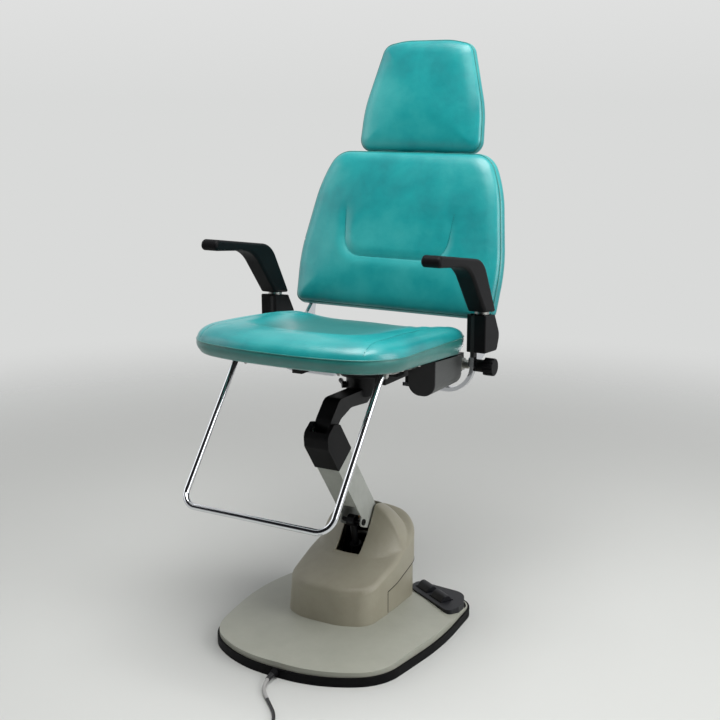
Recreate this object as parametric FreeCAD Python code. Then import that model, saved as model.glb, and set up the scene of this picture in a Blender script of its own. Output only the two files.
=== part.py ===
"""Powered treatment and shampoo chair: lift base, swivel seat, reclining back, swing-out arms.

Millimetres, +Z up. The origin is on the floor under the middle of the base and the chair faces -Y.
X grows towards the sitter's left. Every function returns the solid of one piece in that frame.
"""
import FreeCAD, Part
import math
import os

from FreeCAD import Placement, Rotation, Vector

# Driving dimensions: base
TRIM_HEIGHT = 20.0
TRIM_LIP = 3.0            # rubber under the rim of the steel plate
TRIM_WALL = 14.0
PLATE_THICK = 12.0
COVER_EDGE_TOP = 33.0     # height of the cover where it turns over its edge
COVER_RISE = 22.0         # how far the cover domes up towards the middle
COVER_WALL = 3.0
COVER_SET_IN = 5.0        # cover stands this far inside the rubber trim
BASE_HALF_WIDTH = 252.0
BASE_FRONT = -264.0
BASE_REAR = 262.0
BASE_OUTLINE = [(BASE_HALF_WIDTH - 152, BASE_FRONT, 285), (BASE_HALF_WIDTH - 30, BASE_FRONT + 76, 120),
                (BASE_HALF_WIDTH, 40, 800), (BASE_HALF_WIDTH - 18, BASE_REAR, 66)]

# Driving dimensions: shroud over the lift
SHROUD_HALF_WIDTH = 112.0
SHROUD_FRONT = -81.0
SHROUD_REAR = 221.0
SHROUD_WALL = 5.0
SKIRT_FRONT = 32.0        # the hood reaches down to the cover in front of this
SKIRT_TOP = 106.0         # at the front of the skirt
SKIRT_SLOPE = 0.16        # how its top rises to the rear
SKIRT_REVEAL = 1.5        # shadow gap between skirt and hood
HOOD_OVERHANG = 3.0
HOOD_TOP = 279.0
HOOD_FOOT = 118.0         # where the dome of the hood turns down into its walls
DOME_FROM = 112.0         # the dome falls off behind this
DOME_POWER = 2.4
WALL_HOLLOW = 0.11        # how hollow the slotted wall is, as a share of its height
SLOT_CLEAR = 5.0          # beside the arm in its slot
SLOT_FLOOR = (40.0, 175.0)   # foot of the arm slot on the mid-plane, (Y, Z)
SLOT_BROW = (118.0, 273.0)   # where the slotted wall meets the brow of the hood
LIP_Z = 133.0             # front edge of the apron below the slot
VERGE_Z = 141.0           # side edge of the apron, over the base middle
VERGE_SLOPE = 0.30
FRONT_LEAN = 0.15         # how far the front wall leans back per height
EDGE_R = 11.0             # roll of the hood's edges
SLOT_REAR = 168.0

# Driving dimensions: lift linkage, as (Y, Z) points on the mid-plane
ARM_HALF_WIDTH = 28.0
SLOT_HALF = ARM_HALF_WIDTH + SLOT_CLEAR
ARM_PIVOT = (151.0, 218.0)
KNUCKLE_PIVOT = (-46.0, 489.0)
LEVEL_OFFSET = (-10.5, -28.0)   # levelling rod pivots, from the two arm pivots
LEVEL_X = ARM_HALF_WIDTH - 11.0     # levelling rod stands beside the ram
RAM_PIN = (69.0, 246.0)
RAM_FOOT = (108.0, 88.0)
ARM_FRONT = 47.0          # front face of the arm, from the line between its pivots
ARM_REAR = 15.0
ARM_WALL = 3.0
PIVOT_R = 10.0
PIN_R = 5.0
RUN_CLEAR = 0.08          # radial clearance of a running fit
OPEN_CLEAR = 4.0          # room round the ram pin, where the ram linkage is open
BRACKET_INNER = ARM_HALF_WIDTH + 6.0
BRACKET_THICK = 6.0

# Driving dimensions: overall seat
SEAT_HEIGHT = 690.0       # height of the seam line over the base middle
SEAT_HALF_WIDTH = 243.0
SEAT_TILT = 4.0

# Driving dimensions: seat carrier and swivel
HUB_TOP = SEAT_HEIGHT - 106.0
SWIVEL_Y = 115.0
NECK_HALF_WIDTH = ARM_HALF_WIDTH - 8.0
HUB_R = 37.0
HUB_HEIGHT = 44.0
SPINDLE_R = 15.0
WASHER_THICK = 3.0
FLANGE_R = 52.0
FLANGE_THICK = 11.0

# Driving dimensions: seat
SEAT_FRONT = -268.0
SEAT_REAR = 190.0
SEAT_OUTLINE = [(SEAT_HALF_WIDTH - 151, SEAT_FRONT, 560), (SEAT_HALF_WIDTH, SEAT_FRONT + 30, 88),
                (SEAT_HALF_WIDTH - 11, SEAT_REAR, 58)]
SEAT_BOXING = 20.0        # padding below the seam line
SEAT_CROWN = 38.0
SEAT_DISH = 13.0
SEAT_DISH_R = 165.0
PAN_THICK = 12.0
PAN_SET_IN = 15.0

# Driving dimensions: footrest
FOOT_TUBE_R = 7.0
FOOT_HALF_SPAN = 180.0
FOOT_KNEE_Y = -118.0
FOOT_BAR = (-333.0, 379.0)
FOOT_BEND = 34.0
FOOT_TAIL_Y = 24.0
CLAMP_YS = (-78.0, 0.0)

# Driving dimensions: arms
ARM_X = SEAT_HALF_WIDTH + 29.0
ARMREST_WIDTH = 44.0
ARM_SLOPE = 7.0
SPLIT = (168.0, SEAT_HEIGHT + 59.0)    # middle of the joint face under the upper arm, (Y, Z)
SPLIT_GAP = 6.0
ARM_SPINDLE_R = 9.0
SPINDLE_DEEP = 34.0       # how far the spindle goes down into the lower arm
JBAR_X = ARM_X - 9.0
JBAR_THICK = 9.0
JBAR_WIDE = 16.0
JBAR_FRONT = 139.0
JBAR_LOW = SEAT_HEIGHT - 120.0
JBAR_BEND = 62.0
JBAR_INNER_X = 92.0

# Driving dimensions: recline hinge and backrest
HINGE = (190.0, SEAT_HEIGHT - 69.0)
HINGE_R = 10.0
BACK_BAR_X = SEAT_HALF_WIDTH - 3.0
BACK_BAR_THICK = 10.0
BACK_BAR_WIDE = 24.0
BACK_ORIGIN = (301.0, SEAT_HEIGHT + 210.0)
BACK_LEAN = 17.0
BACK_HALF_WIDTH = SEAT_HALF_WIDTH + 31.0
BACK_OUTLINE = [(BACK_HALF_WIDTH - 8, -189, 30), (BACK_HALF_WIDTH, -70, 420),
                (BACK_HALF_WIDTH - 30, 112, 330), (BACK_HALF_WIDTH - 68, 190, 56)]
BACK_DEPTH = 30.0         # padding behind the seam line
BACK_CROWN = 24.0
CHANNEL_R = 3.0
PANEL_THICK = 10.0
PANEL_SET_IN = 16.0

# Driving dimensions: headrest
HEAD_ORIGIN = (BACK_ORIGIN[0] + 114.0, BACK_ORIGIN[1] + 320.0)
HEAD_LEAN = 11.0
HEAD_OUTLINE = [(168, -134, 34), (162, -30, 300), (114, 126, 34)]
HEAD_DEPTH = 26.0
HEAD_CROWN = 22.0
POST_X = 52.0
POST_WIDE = 34.0
POST_THICK = 8.0
SLIDE_CLEAR = 0.4
POST_RUN = (40.0, 274.0)  # ends of the posts, up the lean from the backrest datum

# Driving dimensions: recline lock
BOX_X = (SEAT_HALF_WIDTH - 81.0, SEAT_HALF_WIDTH - 17.0)
BOX_Y = (30.0, 166.0)
BOX_LOW_Z = SEAT_HEIGHT - 112.0
KNOB_NECK_R = 14.0
KNOB_R = 20.0
KNOB_FROM_X = BACK_BAR_X + 10.0
KNOB_LENGTH = 47.0

# Driving dimensions: foot switch
PEDAL_CENTRES = {"pedal_up": (121.0, 222.0), "pedal_down": (175.0, 188.0)}
PANEL_TURN = -31.0
PEDAL_LONG = 46.0
PEDAL_DEEP = 32.0
PEDAL_GAP = 2.5

# Driving dimensions: mains cord
CORD_R = 3.5
SLEEVE_R = 4.2
COIL_TURNS = 5            # turns in each of the two layers
COIL_INNER_R = 27.0      # middle of the cord in the smallest turn
COIL_PITCH = 7.6
COIL_CENTRE = (177.0, -505.0)
COIL_FLOOR = 1.6          # the tie passes under the coil
TIE_THICK = 1.4
COIL_RISE = 8.2           # from one layer of the coil to the next
LEAD_OUT = 58.0
PLUG_R = 13.0
PLUG_LONG = 42.0
SLEEVE_ROUTE = [(0, -264, 11), (0, -281, 10.6), (3, -302, 8.3), (11, -323, 5.4), (26, -341, 4.6),
                (43, -356.5, 4.5)]
CORD_ROUTE = [(43, -356.5, 4.5), (61, -372.9, 4.4), (82, -392.5, 4.4), (99, -416, 4.6),
              (109, -443, 4.9), (112, -471, 5.1), (112, -497, 5.1)]

X_AXIS = Vector(1, 0, 0)
Y_AXIS = Vector(0, 1, 0)
Z_AXIS = Vector(0, 0, 1)
ORIGIN = Vector(0, 0, 0)
FAR = 2000.0              # larger than the chair, for cutting blocks


# Outlines and simple solids

def mirrored(half):
    """Whole outline from its right half, given from front to rear as (x, y, corner radius)."""
    return half + [(-x, y, r) for x, y, r in reversed(half)]


def inset(corners, distance):
    """Corner list moved inwards by a distance, its radii reduced to match."""
    count = len(corners)
    moved = []
    for i in range(count):
        before, here, after = corners[i - 1], corners[i], corners[(i + 1) % count]
        a = Vector(here[0] - before[0], here[1] - before[1], 0).normalize()
        b = Vector(after[0] - here[0], after[1] - here[1], 0).normalize()
        bisector = Vector(-a.y - b.y, a.x + b.x, 0)
        reach = distance * 2 / bisector.Length ** 2
        moved.append((here[0] + bisector.x * reach, here[1] + bisector.y * reach,
                      max(here[2] - distance, 2.0)))
    return moved


def path_edges(points, radii, closed):
    """Straight runs joined by tangent arcs through a list of vectors."""
    count = len(points)
    starts, ends, arcs = [], [], []
    for i, here in enumerate(points):
        if not closed and i in (0, count - 1):
            starts.append(here)
            ends.append(here)
            arcs.append(None)
            continue
        to_last = (points[i - 1] - here).normalize()
        to_next = (points[(i + 1) % count] - here).normalize()
        half = to_last.getAngle(to_next) / 2
        reach = radii[i] / math.tan(half)
        first, last = here + to_last * reach, here + to_next * reach
        bisector = (to_last + to_next).normalize()
        middle = here + bisector * (radii[i] / math.sin(half) - radii[i])
        starts.append(first)
        ends.append(last)
        arcs.append(Part.Arc(first, middle, last).toShape())
    edges = []
    for i in range(count if closed else count - 1):
        following = (i + 1) % count
        if arcs[i]:
            edges.append(arcs[i])
        if (starts[following] - ends[i]).Length > 1e-6:
            edges.append(Part.LineSegment(ends[i], starts[following]).toShape())
    return edges


def loop(corners, z=0.0):
    """Closed wire in a level plane from (x, y, corner radius) corners."""
    points = [Vector(x, y, z) for x, y, _ in corners]
    return Part.Wire(path_edges(points, [r for _, _, r in corners], True))


def prism(corners, z0, z1):
    return Part.Face(loop(corners, z0)).extrude(Vector(0, 0, z1 - z0))


def side_slab(corners, x0, x1):
    """Solid of a (y, z, corner radius) side profile between two X planes."""
    points = [Vector(x0, y, z) for y, z, _ in corners]
    wire = Part.Wire(path_edges(points, [r for _, _, r in corners], True))
    return Part.Face(wire).extrude(Vector(x1 - x0, 0, 0))


def loft(wires, ruled=True):
    solid = Part.makeLoft(wires, True, ruled)
    return solid if solid.Volume > 0 else solid.reversed()


def bevelled_board(corners, z0, z1):
    """Flat board whose lower edge is bevelled all round."""
    bevel = (z1 - z0) * 0.4
    return loft([loop(inset(corners, bevel), z0), loop(corners, z0 + bevel), loop(corners, z1)])


def block(x, y, z):
    """Box from three (low, high) pairs."""
    return Part.makeBox(x[1] - x[0], y[1] - y[0], z[1] - z[0], Vector(x[0], y[0], z[0]))


def cross_pin(yz, radius, x0, x1):
    """Round bar along X through a (Y, Z) point."""
    return Part.makeCylinder(radius, x1 - x0, Vector(x0, yz[0], yz[1]), X_AXIS)


def post(x, y, radius, z0, z1):
    return Part.makeCylinder(radius, z1 - z0, Vector(x, y, z0), Z_AXIS)


def fuse(*shapes):
    whole = shapes[0].fuse(list(shapes[1:]))
    return whole.removeSplitter()


def both_sides(shape):
    """A shape and its mirror image in the chair's mid-plane, as separate solids."""
    return Part.makeCompound([shape, shape.mirror(ORIGIN, X_AXIS)])


def rounded(shape, radius, chosen):
    """Fillet the edges that a test picks."""
    return shape.makeFillet(radius, [e for e in shape.Edges if chosen(e)])


def tube(points, radii, radius):
    """Round tube on straight runs and tangent arcs, with its path length."""
    path = Part.Wire(path_edges(points, [0] + radii + [0], False))
    start = (points[1] - points[0]).normalize()
    section = Part.Wire(Part.makeCircle(radius, points[0], start))
    return path.makePipeShell([section], True, False), path.Length


def route_radii(points):
    """Largest tangent arc at each inner point of a route: 0.45 of the shorter run."""
    radii = []
    for last, here, following in zip(points, points[1:], points[2:]):
        a, b = here - last, following - here
        radii.append(0.45 * min(a.Length, b.Length) / math.tan(a.getAngle(b) / 2))
    return radii


def on_seat(shape):
    """Place a shape drawn level about the seat datum on the tilted seat."""
    turn = Rotation(X_AXIS, -SEAT_TILT)
    return shape.transformGeometry(Placement(Vector(0, 0, SEAT_HEIGHT), turn).toMatrix())


def leaning(shape, origin, lean):
    """Stand a shape drawn flat, front face up, on a leaning back."""
    turn = Rotation(X_AXIS, 90.0 - lean)
    moved = shape.copy()
    moved.Placement = Placement(Vector(0, origin[0], origin[1]), turn)
    return moved


def above_pan():
    """Everything over the underside of the seat pan."""
    big = block((-FAR, FAR), (-FAR, FAR), (-SEAT_BOXING - PAN_THICK, FAR))
    big.Placement = Placement(Vector(0, 0, SEAT_HEIGHT), Rotation(X_AXIS, -SEAT_TILT))
    return big


def offset_yz(point, along, across):
    """Point from a pivot, along the arm and towards its front face."""
    up = Vector(0, KNUCKLE_PIVOT[0] - ARM_PIVOT[0], KNUCKLE_PIVOT[1] - ARM_PIVOT[1]).normalize()
    return (point[0] + up.y * along - up.z * across, point[1] + up.z * along + up.y * across)


# Base

BASE_CORNERS = mirrored(BASE_OUTLINE)
PLATE_TOP = TRIM_LIP + PLATE_THICK


def base_edge_trim():
    """Rubber tray that wraps the rim of the plate and lies flat on the floor."""
    return prism(BASE_CORNERS, 0, TRIM_HEIGHT).cut(prism(inset(BASE_CORNERS, TRIM_WALL), TRIM_LIP, FAR))


def base_plate():
    return prism(inset(BASE_CORNERS, TRIM_WALL), TRIM_LIP, PLATE_TOP)


def cover_envelope(grow):
    """Domed outside of the base cover, grown outwards by a distance."""
    radius = BASE_REAR ** 2 / (2 * COVER_RISE) + COVER_RISE / 2
    top = COVER_EDGE_TOP + COVER_RISE
    dome = Part.makeSphere(radius + grow, Vector(0, 0, top - radius))
    return prism(inset(BASE_CORNERS, COVER_SET_IN - grow), TRIM_HEIGHT, top + 2 * grow).common(dome)


def base_cover():
    inner = prism(inset(BASE_CORNERS, COVER_SET_IN + COVER_WALL), TRIM_HEIGHT - 1, FAR)
    hollow = inner.common(cover_envelope(-COVER_WALL).fuse(prism(BASE_CORNERS, 0, COVER_EDGE_TOP - 8)))
    well = prism(mirrored([(70, SHROUD_FRONT + 40, 20), (70, SHROUD_REAR - 20, 20)]), 0, FAR)
    return cover_envelope(0).cut(hollow).cut(well)


# Shroud

def shroud_corners(grow, back=0.0):
    """Shroud in plan, grown outwards; its front wall can be moved back."""
    half = [(46, SHROUD_FRONT + back, 100), (SHROUD_HALF_WIDTH - 6, SHROUD_FRONT + 30 + back, 50),
            (SHROUD_HALF_WIDTH + 2, 70, 240), (SHROUD_HALF_WIDTH - 12, SHROUD_REAR, 62)]
    return inset(mirrored(half), -grow)


def shroud_block(grow):
    """Everything inside the shroud's walls, from under the cover to over the hood."""
    heights = (TRIM_HEIGHT + 1, HOOD_TOP + 40)
    return loft([loop(shroud_corners(grow, FRONT_LEAN * (z - COVER_EDGE_TOP)), z) for z in heights])


def below_split(margin, front):
    """Space behind a front plane and under the sloping joint of skirt and hood, raised by a margin."""
    rise = SKIRT_SLOPE * (FAR / 4 - SKIRT_FRONT)
    return side_slab([(front, -FAR, 1), (FAR / 4, -FAR, 1), (FAR / 4, SKIRT_TOP + rise + margin, 1),
                      (front, SKIRT_TOP + margin, 1)], -FAR / 4, FAR / 4)


LAP = HOOD_OVERHANG - SHROUD_WALL     # inside of the hood, where the skirt's tongue meets it


def shroud_skirt():
    """Walls of the shroud behind the hood's front, with a tongue that laps inside the hood."""
    front = SKIRT_FRONT + SKIRT_REVEAL
    shell = shroud_block(0).common(below_split(-SKIRT_REVEAL, front))
    tongue = shroud_block(LAP).common(below_split(7, front)).cut(below_split(-10, 0))
    skirt = shell.fuse(tongue).cut(shroud_block(-SHROUD_WALL))
    return skirt.removeSplitter().cut(cover_envelope(0))


def smooth_max(a, b, blend):
    return (a + b + math.hypot(a - b, blend)) / 2


def smooth_min(a, b, blend):
    return (a + b - math.hypot(a - b, blend)) / 2


def edge_distance(outline, x, y):
    """How far a point lies inside a convex outline, as the least distance to its chords."""
    least = FAR
    for a, b in zip(outline, outline[1:] + outline[:1]):
        across = (b.x - a.x) * (y - a.y) - (b.y - a.y) * (x - a.x)
        least = min(least, across / math.hypot(b.x - a.x, b.y - a.y))
    return least


def hood_height(x, y, outline):
    """Outside of the hood over a point: domed rear, steep slotted wall, low apron.

    The dome is a superellipse, the wall a slope down from its front rim, the apron a ruled sheet between its
    middle and side lines; they run into each other, and the whole rolls over near the outline.
    """
    side = abs(x) / (SHROUD_HALF_WIDTH + 5)
    rear = max(0.0, y - DOME_FROM) / (SHROUD_REAR + 8 - DOME_FROM)
    rise = HOOD_TOP - HOOD_FOOT
    portal = HOOD_FOOT + rise * math.sqrt(smooth_max(1 - side ** DOME_POWER, 0, 0.04))
    dome = HOOD_FOOT + rise * math.sqrt(smooth_max(1 - side ** DOME_POWER - rear ** DOME_POWER, 0, 0.04))
    steep = (SLOT_BROW[1] - SLOT_FLOOR[1]) / (SLOT_BROW[0] - SLOT_FLOOR[0])
    tall = max(portal - SLOT_FLOOR[1], 1.0)
    way = 1 + (y - SLOT_BROW[0]) * steep / tall     # from 0 at the foot of the wall to 1 at its rim
    wall = SLOT_FLOOR[1] + tall * (way - 4 * WALL_HOLLOW * max(way * (1 - way), 0.0))
    ramp = (SLOT_FLOOR[1] - LIP_Z) / (SLOT_FLOOR[0] - SHROUD_FRONT - 11)
    middle = SLOT_FLOOR[1] + ramp * (y - SLOT_FLOOR[0])
    verge = VERGE_Z + VERGE_SLOPE * y
    apron = middle + (verge - middle) * side ** 2
    height = smooth_max(apron, smooth_min(dome, wall, 4.0), 4.0)
    near = edge_distance(outline, x, y)
    roll = 0.95 * min(max(1 - near / EDGE_R, 0.0), 1.0)
    return height - EDGE_R * (1 - math.sqrt(1 - roll ** 2)) + 2.9 * min(near, 0.0)


def stations(low, high, fine, coarse, fine_low, fine_high):
    """Values from low to high, close together outside the two fine limits."""
    values = [low]
    while values[-1] < high:
        step = fine if values[-1] < fine_low or values[-1] >= fine_high else coarse
        values.append(values[-1] + step)
    return values


def below_hood(drop):
    """Solid under the hood's outside, lowered by a distance."""
    lip = shroud_corners(HOOD_OVERHANG, FRONT_LEAN * (LIP_Z - COVER_EDGE_TOP))
    outline = loop(lip).discretize(Number=160)[:-1]
    half = stations(0, SHROUD_HALF_WIDTH + 12, 3.0, 6.0, 0, SHROUD_HALF_WIDTH - 20)
    across = [-x for x in reversed(half[1:])] + half
    along = stations(SHROUD_FRONT - 12, SHROUD_REAR + 14, 3.0, 6.0, SHROUD_FRONT + 42, SHROUD_REAR - 20)
    rows = [[Vector(x, y, hood_height(x, y, outline) - drop) for x in across] for y in along]
    sheet = Part.BSplineSurface()
    sheet.interpolate(rows)
    return sheet.toShape().extrude(Vector(0, 0, -FAR))


def shroud_hood():
    y0, z0 = SLOT_FLOOR
    hood = shroud_block(HOOD_OVERHANG).common(below_hood(0))
    hood = hood.cut(shroud_block(LAP).common(below_hood(SHROUD_WALL * 1.5)))
    slot = block((-SLOT_HALF, SLOT_HALF), (y0 - 20, SLOT_REAR), (z0, FAR))
    return hood.cut(below_split(0, SKIRT_FRONT)).cut(slot).cut(cover_envelope(0))


# Lift linkage

def arm_profile(front, rear, low, high):
    """Side outline of the arm between two distances along it, as (y, z, radius) corners."""
    places = [(low, front), (low, -rear), (high, -rear), (high, front)]
    return [(*offset_yz(ARM_PIVOT, along, across), 3.0) for along, across in places]


def arm_length():
    return math.dist(ARM_PIVOT, KNUCKLE_PIVOT)


def lever(a, ra, b, rb, x0, x1):
    """Flat link with two round ends, as the hull of two circles."""
    d = Vector(0, b[0] - a[0], b[1] - a[1])
    span = d.Length
    lean = math.atan2(d.z, d.y)
    swing = math.acos((ra - rb) / span)

    def rim(centre, radius, angle):
        return Vector(x0, centre[0] + radius * math.cos(angle), centre[1] + radius * math.sin(angle))

    a1, a2, a3 = rim(a, ra, lean + swing), rim(a, ra, lean + math.pi), rim(a, ra, lean - swing)
    b1, b2, b3 = rim(b, rb, lean - swing), rim(b, rb, lean), rim(b, rb, lean + swing)
    edges = [Part.Arc(a1, a2, a3).toShape(), Part.LineSegment(a3, b1).toShape(),
             Part.Arc(b1, b2, b3).toShape(), Part.LineSegment(b3, a1).toShape()]
    return Part.Face(Part.Wire(edges)).extrude(Vector(x1 - x0, 0, 0))


BUSH_R = PIVOT_R + 4.0
LEVEL_LOW = (ARM_PIVOT[0] + LEVEL_OFFSET[0], ARM_PIVOT[1] + LEVEL_OFFSET[1])
LEVEL_HIGH = (KNUCKLE_PIVOT[0] + LEVEL_OFFSET[0], KNUCKLE_PIVOT[1] + LEVEL_OFFSET[1])
ARM_WINDOW = 124.0        # the front wall starts here, above the ram's pin
BOX_LOW = 66.0            # the closed part of the arm starts here, up from its pivot
KNUCKLE_DROP = 72.0       # the cap reaches this far below the knuckle pivot
CAP_WALL = 3.0


def lift_arm():
    top = arm_length() - 26.0
    half = ARM_HALF_WIDTH
    outer = side_slab(arm_profile(ARM_FRONT, ARM_REAR, BOX_LOW, top), -half, half)
    inner = side_slab(arm_profile(ARM_FRONT - ARM_WALL, ARM_REAR - ARM_WALL, BOX_LOW - 9, top + 9),
                      -half + ARM_WALL, half - ARM_WALL)
    window = side_slab(arm_profile(ARM_FRONT + 9, -ARM_FRONT + 12, 0, ARM_WINDOW),
                       -half + ARM_WALL, half - ARM_WALL)
    arm = outer.cut(inner).cut(window)
    for x in (-half, half - ARM_WALL):
        ear = lever(ARM_PIVOT, BUSH_R + 3, RAM_PIN, 11.0, x, x + ARM_WALL)
        neck = offset_yz(ARM_PIVOT, BOX_LOW + 10, -1)
        strut = lever(ARM_PIVOT, BUSH_R + 3, neck, 13.0, x, x + ARM_WALL)
        brow = offset_yz(ARM_PIVOT, BOX_LOW + 12, ARM_FRONT - 13)
        toe = lever(RAM_PIN, 11.0, brow, 12.9, x, x + ARM_WALL)
        web = side_slab([(*ARM_PIVOT, 1), (*RAM_PIN, 1), (*brow, 1), (*neck, 1)], x, x + ARM_WALL)
        crown = offset_yz(KNUCKLE_PIVOT, -40, 8)
        head = lever(KNUCKLE_PIVOT, 15.0, crown, 20.0, x, x + ARM_WALL)
        arm = arm.fuse([ear, strut, toe, web, head])
    arm = arm.removeSplitter()
    arm = arm.cut(cross_pin(ARM_PIVOT, BUSH_R, -FAR, FAR))
    arm = arm.cut(cross_pin(RAM_PIN, PIN_R, -FAR, FAR))
    return arm.cut(cross_pin(KNUCKLE_PIVOT, PIN_R + 1, -FAR, FAR))


def arm_bushes():
    bush = cross_pin(ARM_PIVOT, BUSH_R, ARM_HALF_WIDTH - ARM_WALL, BRACKET_INNER - 0.3)
    collar = cross_pin(ARM_PIVOT, BUSH_R + 3, ARM_HALF_WIDTH, BRACKET_INNER - 0.3)
    bore = cross_pin(ARM_PIVOT, PIVOT_R + RUN_CLEAR, 0, FAR)
    return both_sides(fuse(bush, collar).cut(bore))


def knuckle_pin():
    shank = cross_pin(KNUCKLE_PIVOT, PIN_R + 1, -ARM_HALF_WIDTH, ARM_HALF_WIDTH)
    return shank


def ram_pin():
    shank = cross_pin(RAM_PIN, PIN_R, -ARM_HALF_WIDTH, ARM_HALF_WIDTH)
    heads = [cross_pin(RAM_PIN, 7.5, x, x + 3.5) for x in (ARM_HALF_WIDTH, -ARM_HALF_WIDTH - 3.5)]
    socket = cross_pin(RAM_PIN, 3.0, ARM_HALF_WIDTH + 1.5, FAR)
    return fuse(shank, *heads).cut(socket)


def knuckle_cap():
    """Moulded cap over the knuckle, with a rounded brow and an open top for the carrier."""
    low, high = -KNUCKLE_DROP, 30.0
    half = ARM_HALF_WIDTH + CAP_WALL

    def outline(spread):
        front, rear = ARM_FRONT + spread, ARM_REAR + spread
        places = [(low, front, 3), (low, -rear, 3), (high - 20, -rear, 6), (high, -rear + 18, 10),
                  (high, front - 16, 22), (high - 26, front, 12)]
        return [(*offset_yz(KNUCKLE_PIVOT, along, across), r) for along, across, r in places]

    shell = side_slab(outline(CAP_WALL), -half, half)
    inner = side_slab([(*offset_yz(KNUCKLE_PIVOT, a, c), 2.0) for a, c in
                       ((low - 9, ARM_FRONT), (low - 9, -ARM_REAR), (high - 22, -ARM_REAR),
                        (high - 4, -ARM_REAR + 18), (high - 4, ARM_FRONT - 16), (high - 27, ARM_FRONT))],
                      -half + CAP_WALL, half - CAP_WALL)
    mouth_half = NECK_HALF_WIDTH + 1.5
    mouth = side_slab([(*offset_yz(KNUCKLE_PIVOT, a, c), 1.0) for a, c in
                       ((-20, -12), (-20, -80), (90, -80), (90, 26), (high - 9, 26))],
                      -mouth_half, mouth_half)
    return shell.cut(inner).cut(mouth)


def levelling_rod():
    span = Vector(0, LEVEL_HIGH[0] - LEVEL_LOW[0], LEVEL_HIGH[1] - LEVEL_LOW[1]).normalize()
    start = Vector(LEVEL_X, *LEVEL_LOW) + span * 7
    shank = Part.makeCylinder(5.0, math.dist(LEVEL_LOW, LEVEL_HIGH) - 14, start, span)
    eyes = [cross_pin(p, 9.0, LEVEL_X - 5.5, LEVEL_X + 5.5) for p in (LEVEL_LOW, LEVEL_HIGH)]
    rod = fuse(shank, *eyes)
    rod = rod.cut(cross_pin(LEVEL_LOW, PIN_R + RUN_CLEAR, -FAR, FAR))
    return rod.cut(cross_pin(LEVEL_HIGH, PIN_R + 0.3, -FAR, FAR))


def pivot_bracket():
    """Two steel cheeks on a foot plate, bolted to the base plate."""
    foot = block((-BRACKET_INNER - 30, BRACKET_INNER + 30), (36, 196), (PLATE_TOP, PLATE_TOP + 8))
    cheeks = []
    for x in (-BRACKET_INNER - BRACKET_THICK, BRACKET_INNER):
        cheek = side_slab([(60, PLATE_TOP + 6, 1), (192, PLATE_TOP + 6, 1), (190, 120, 40),
                           (ARM_PIVOT[0] + 24, ARM_PIVOT[1] + 22, 22),
                           (ARM_PIVOT[0] - 22, ARM_PIVOT[1] + 22, 20), (92, 160, 30)],
                          x, x + BRACKET_THICK)
        cheeks.append(cheek)
    bracket = fuse(foot, *cheeks)
    bracket = bracket.cut(cross_pin(ARM_PIVOT, PIVOT_R, -FAR, FAR))
    return bracket.cut(cross_pin(LEVEL_LOW, PIN_R, -FAR, FAR))


def main_pivot_shaft():
    reach = BRACKET_INNER + BRACKET_THICK
    shank = cross_pin(ARM_PIVOT, PIVOT_R, -reach, reach)
    heads = [cross_pin(ARM_PIVOT, PIVOT_R + 4, x, x + 4) for x in (reach, -reach - 4)]
    return fuse(shank, *heads)


def linkage_pins():
    """Fixed pins on the base: foot of the levelling rod and foot of the ram's tube."""
    reach = BRACKET_INNER + BRACKET_THICK
    level = cross_pin(LEVEL_LOW, PIN_R, -reach, reach)
    foot = cross_pin(RAM_FOOT, PIN_R, -RAM_LUG_HALF - 8, RAM_LUG_HALF + 8)
    return Part.makeCompound([level, foot])


# Actuator

def along_ram(distance):
    """Point on the line from the ram's foot to its pin."""
    d = Vector(0, RAM_PIN[0] - RAM_FOOT[0], RAM_PIN[1] - RAM_FOOT[1]).normalize()
    return Vector(0, RAM_FOOT[0], RAM_FOOT[1]) + d * distance, d


RAM_TUBE_R = 14.0
RAM_ROD_R = 8.0
RAM_TUBE_TOP = 100.0
RAM_LUG_HALF = 9.0
RAM_BOTTOM = 74.0         # lower end of the ram inside its tube


def actuator_foot_bracket():
    plate = block((-26, 26), (RAM_FOOT[0] - 26, RAM_FOOT[0] + 26), (PLATE_TOP + 8, PLATE_TOP + 14))
    lugs = []
    for x in (-RAM_LUG_HALF - 6.4, RAM_LUG_HALF + 0.4):
        lugs.append(lever(RAM_FOOT, 11, (RAM_FOOT[0], PLATE_TOP + 22), 14, x, x + 6))
    return fuse(plate, *lugs).cut(cross_pin(RAM_FOOT, PIN_R, -FAR, FAR))


def actuator_tube():
    base, d = along_ram(16)
    barrel = Part.makeCylinder(RAM_TUBE_R, RAM_TUBE_TOP - 16, base, d)
    lug = cross_pin(RAM_FOOT, 9.5, -RAM_LUG_HALF, RAM_LUG_HALF)
    stalk_at, _ = along_ram(4)
    stalk = Part.makeCylinder(8.5, 14, stalk_at, d)
    tube_solid = fuse(barrel, lug, stalk)
    bore_at, _ = along_ram(26)
    tube_solid = tube_solid.cut(Part.makeCylinder(RAM_ROD_R + RUN_CLEAR, FAR, bore_at, d))
    return tube_solid.cut(cross_pin(RAM_FOOT, PIN_R + RUN_CLEAR, -FAR, FAR))


def actuator_motor():
    """Geared motor clamped to the front of the tube, beside its foot."""
    seat_at, d = along_ram(30)
    back = Vector(0, -d.z, d.y)
    gearbox = Part.makeCylinder(16, 22, seat_at + back * (RAM_TUBE_R + 0.1) - X_AXIS * 11, X_AXIS)
    flat = Part.makeCylinder(RAM_TUBE_R, RAM_TUBE_TOP, along_ram(0)[0], d)
    gearbox = gearbox.cut(flat)
    drum = Part.makeCylinder(13, 52, seat_at + back * (RAM_TUBE_R + 12) - d * 2, d)
    return fuse(gearbox, drum.cut(flat))


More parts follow.
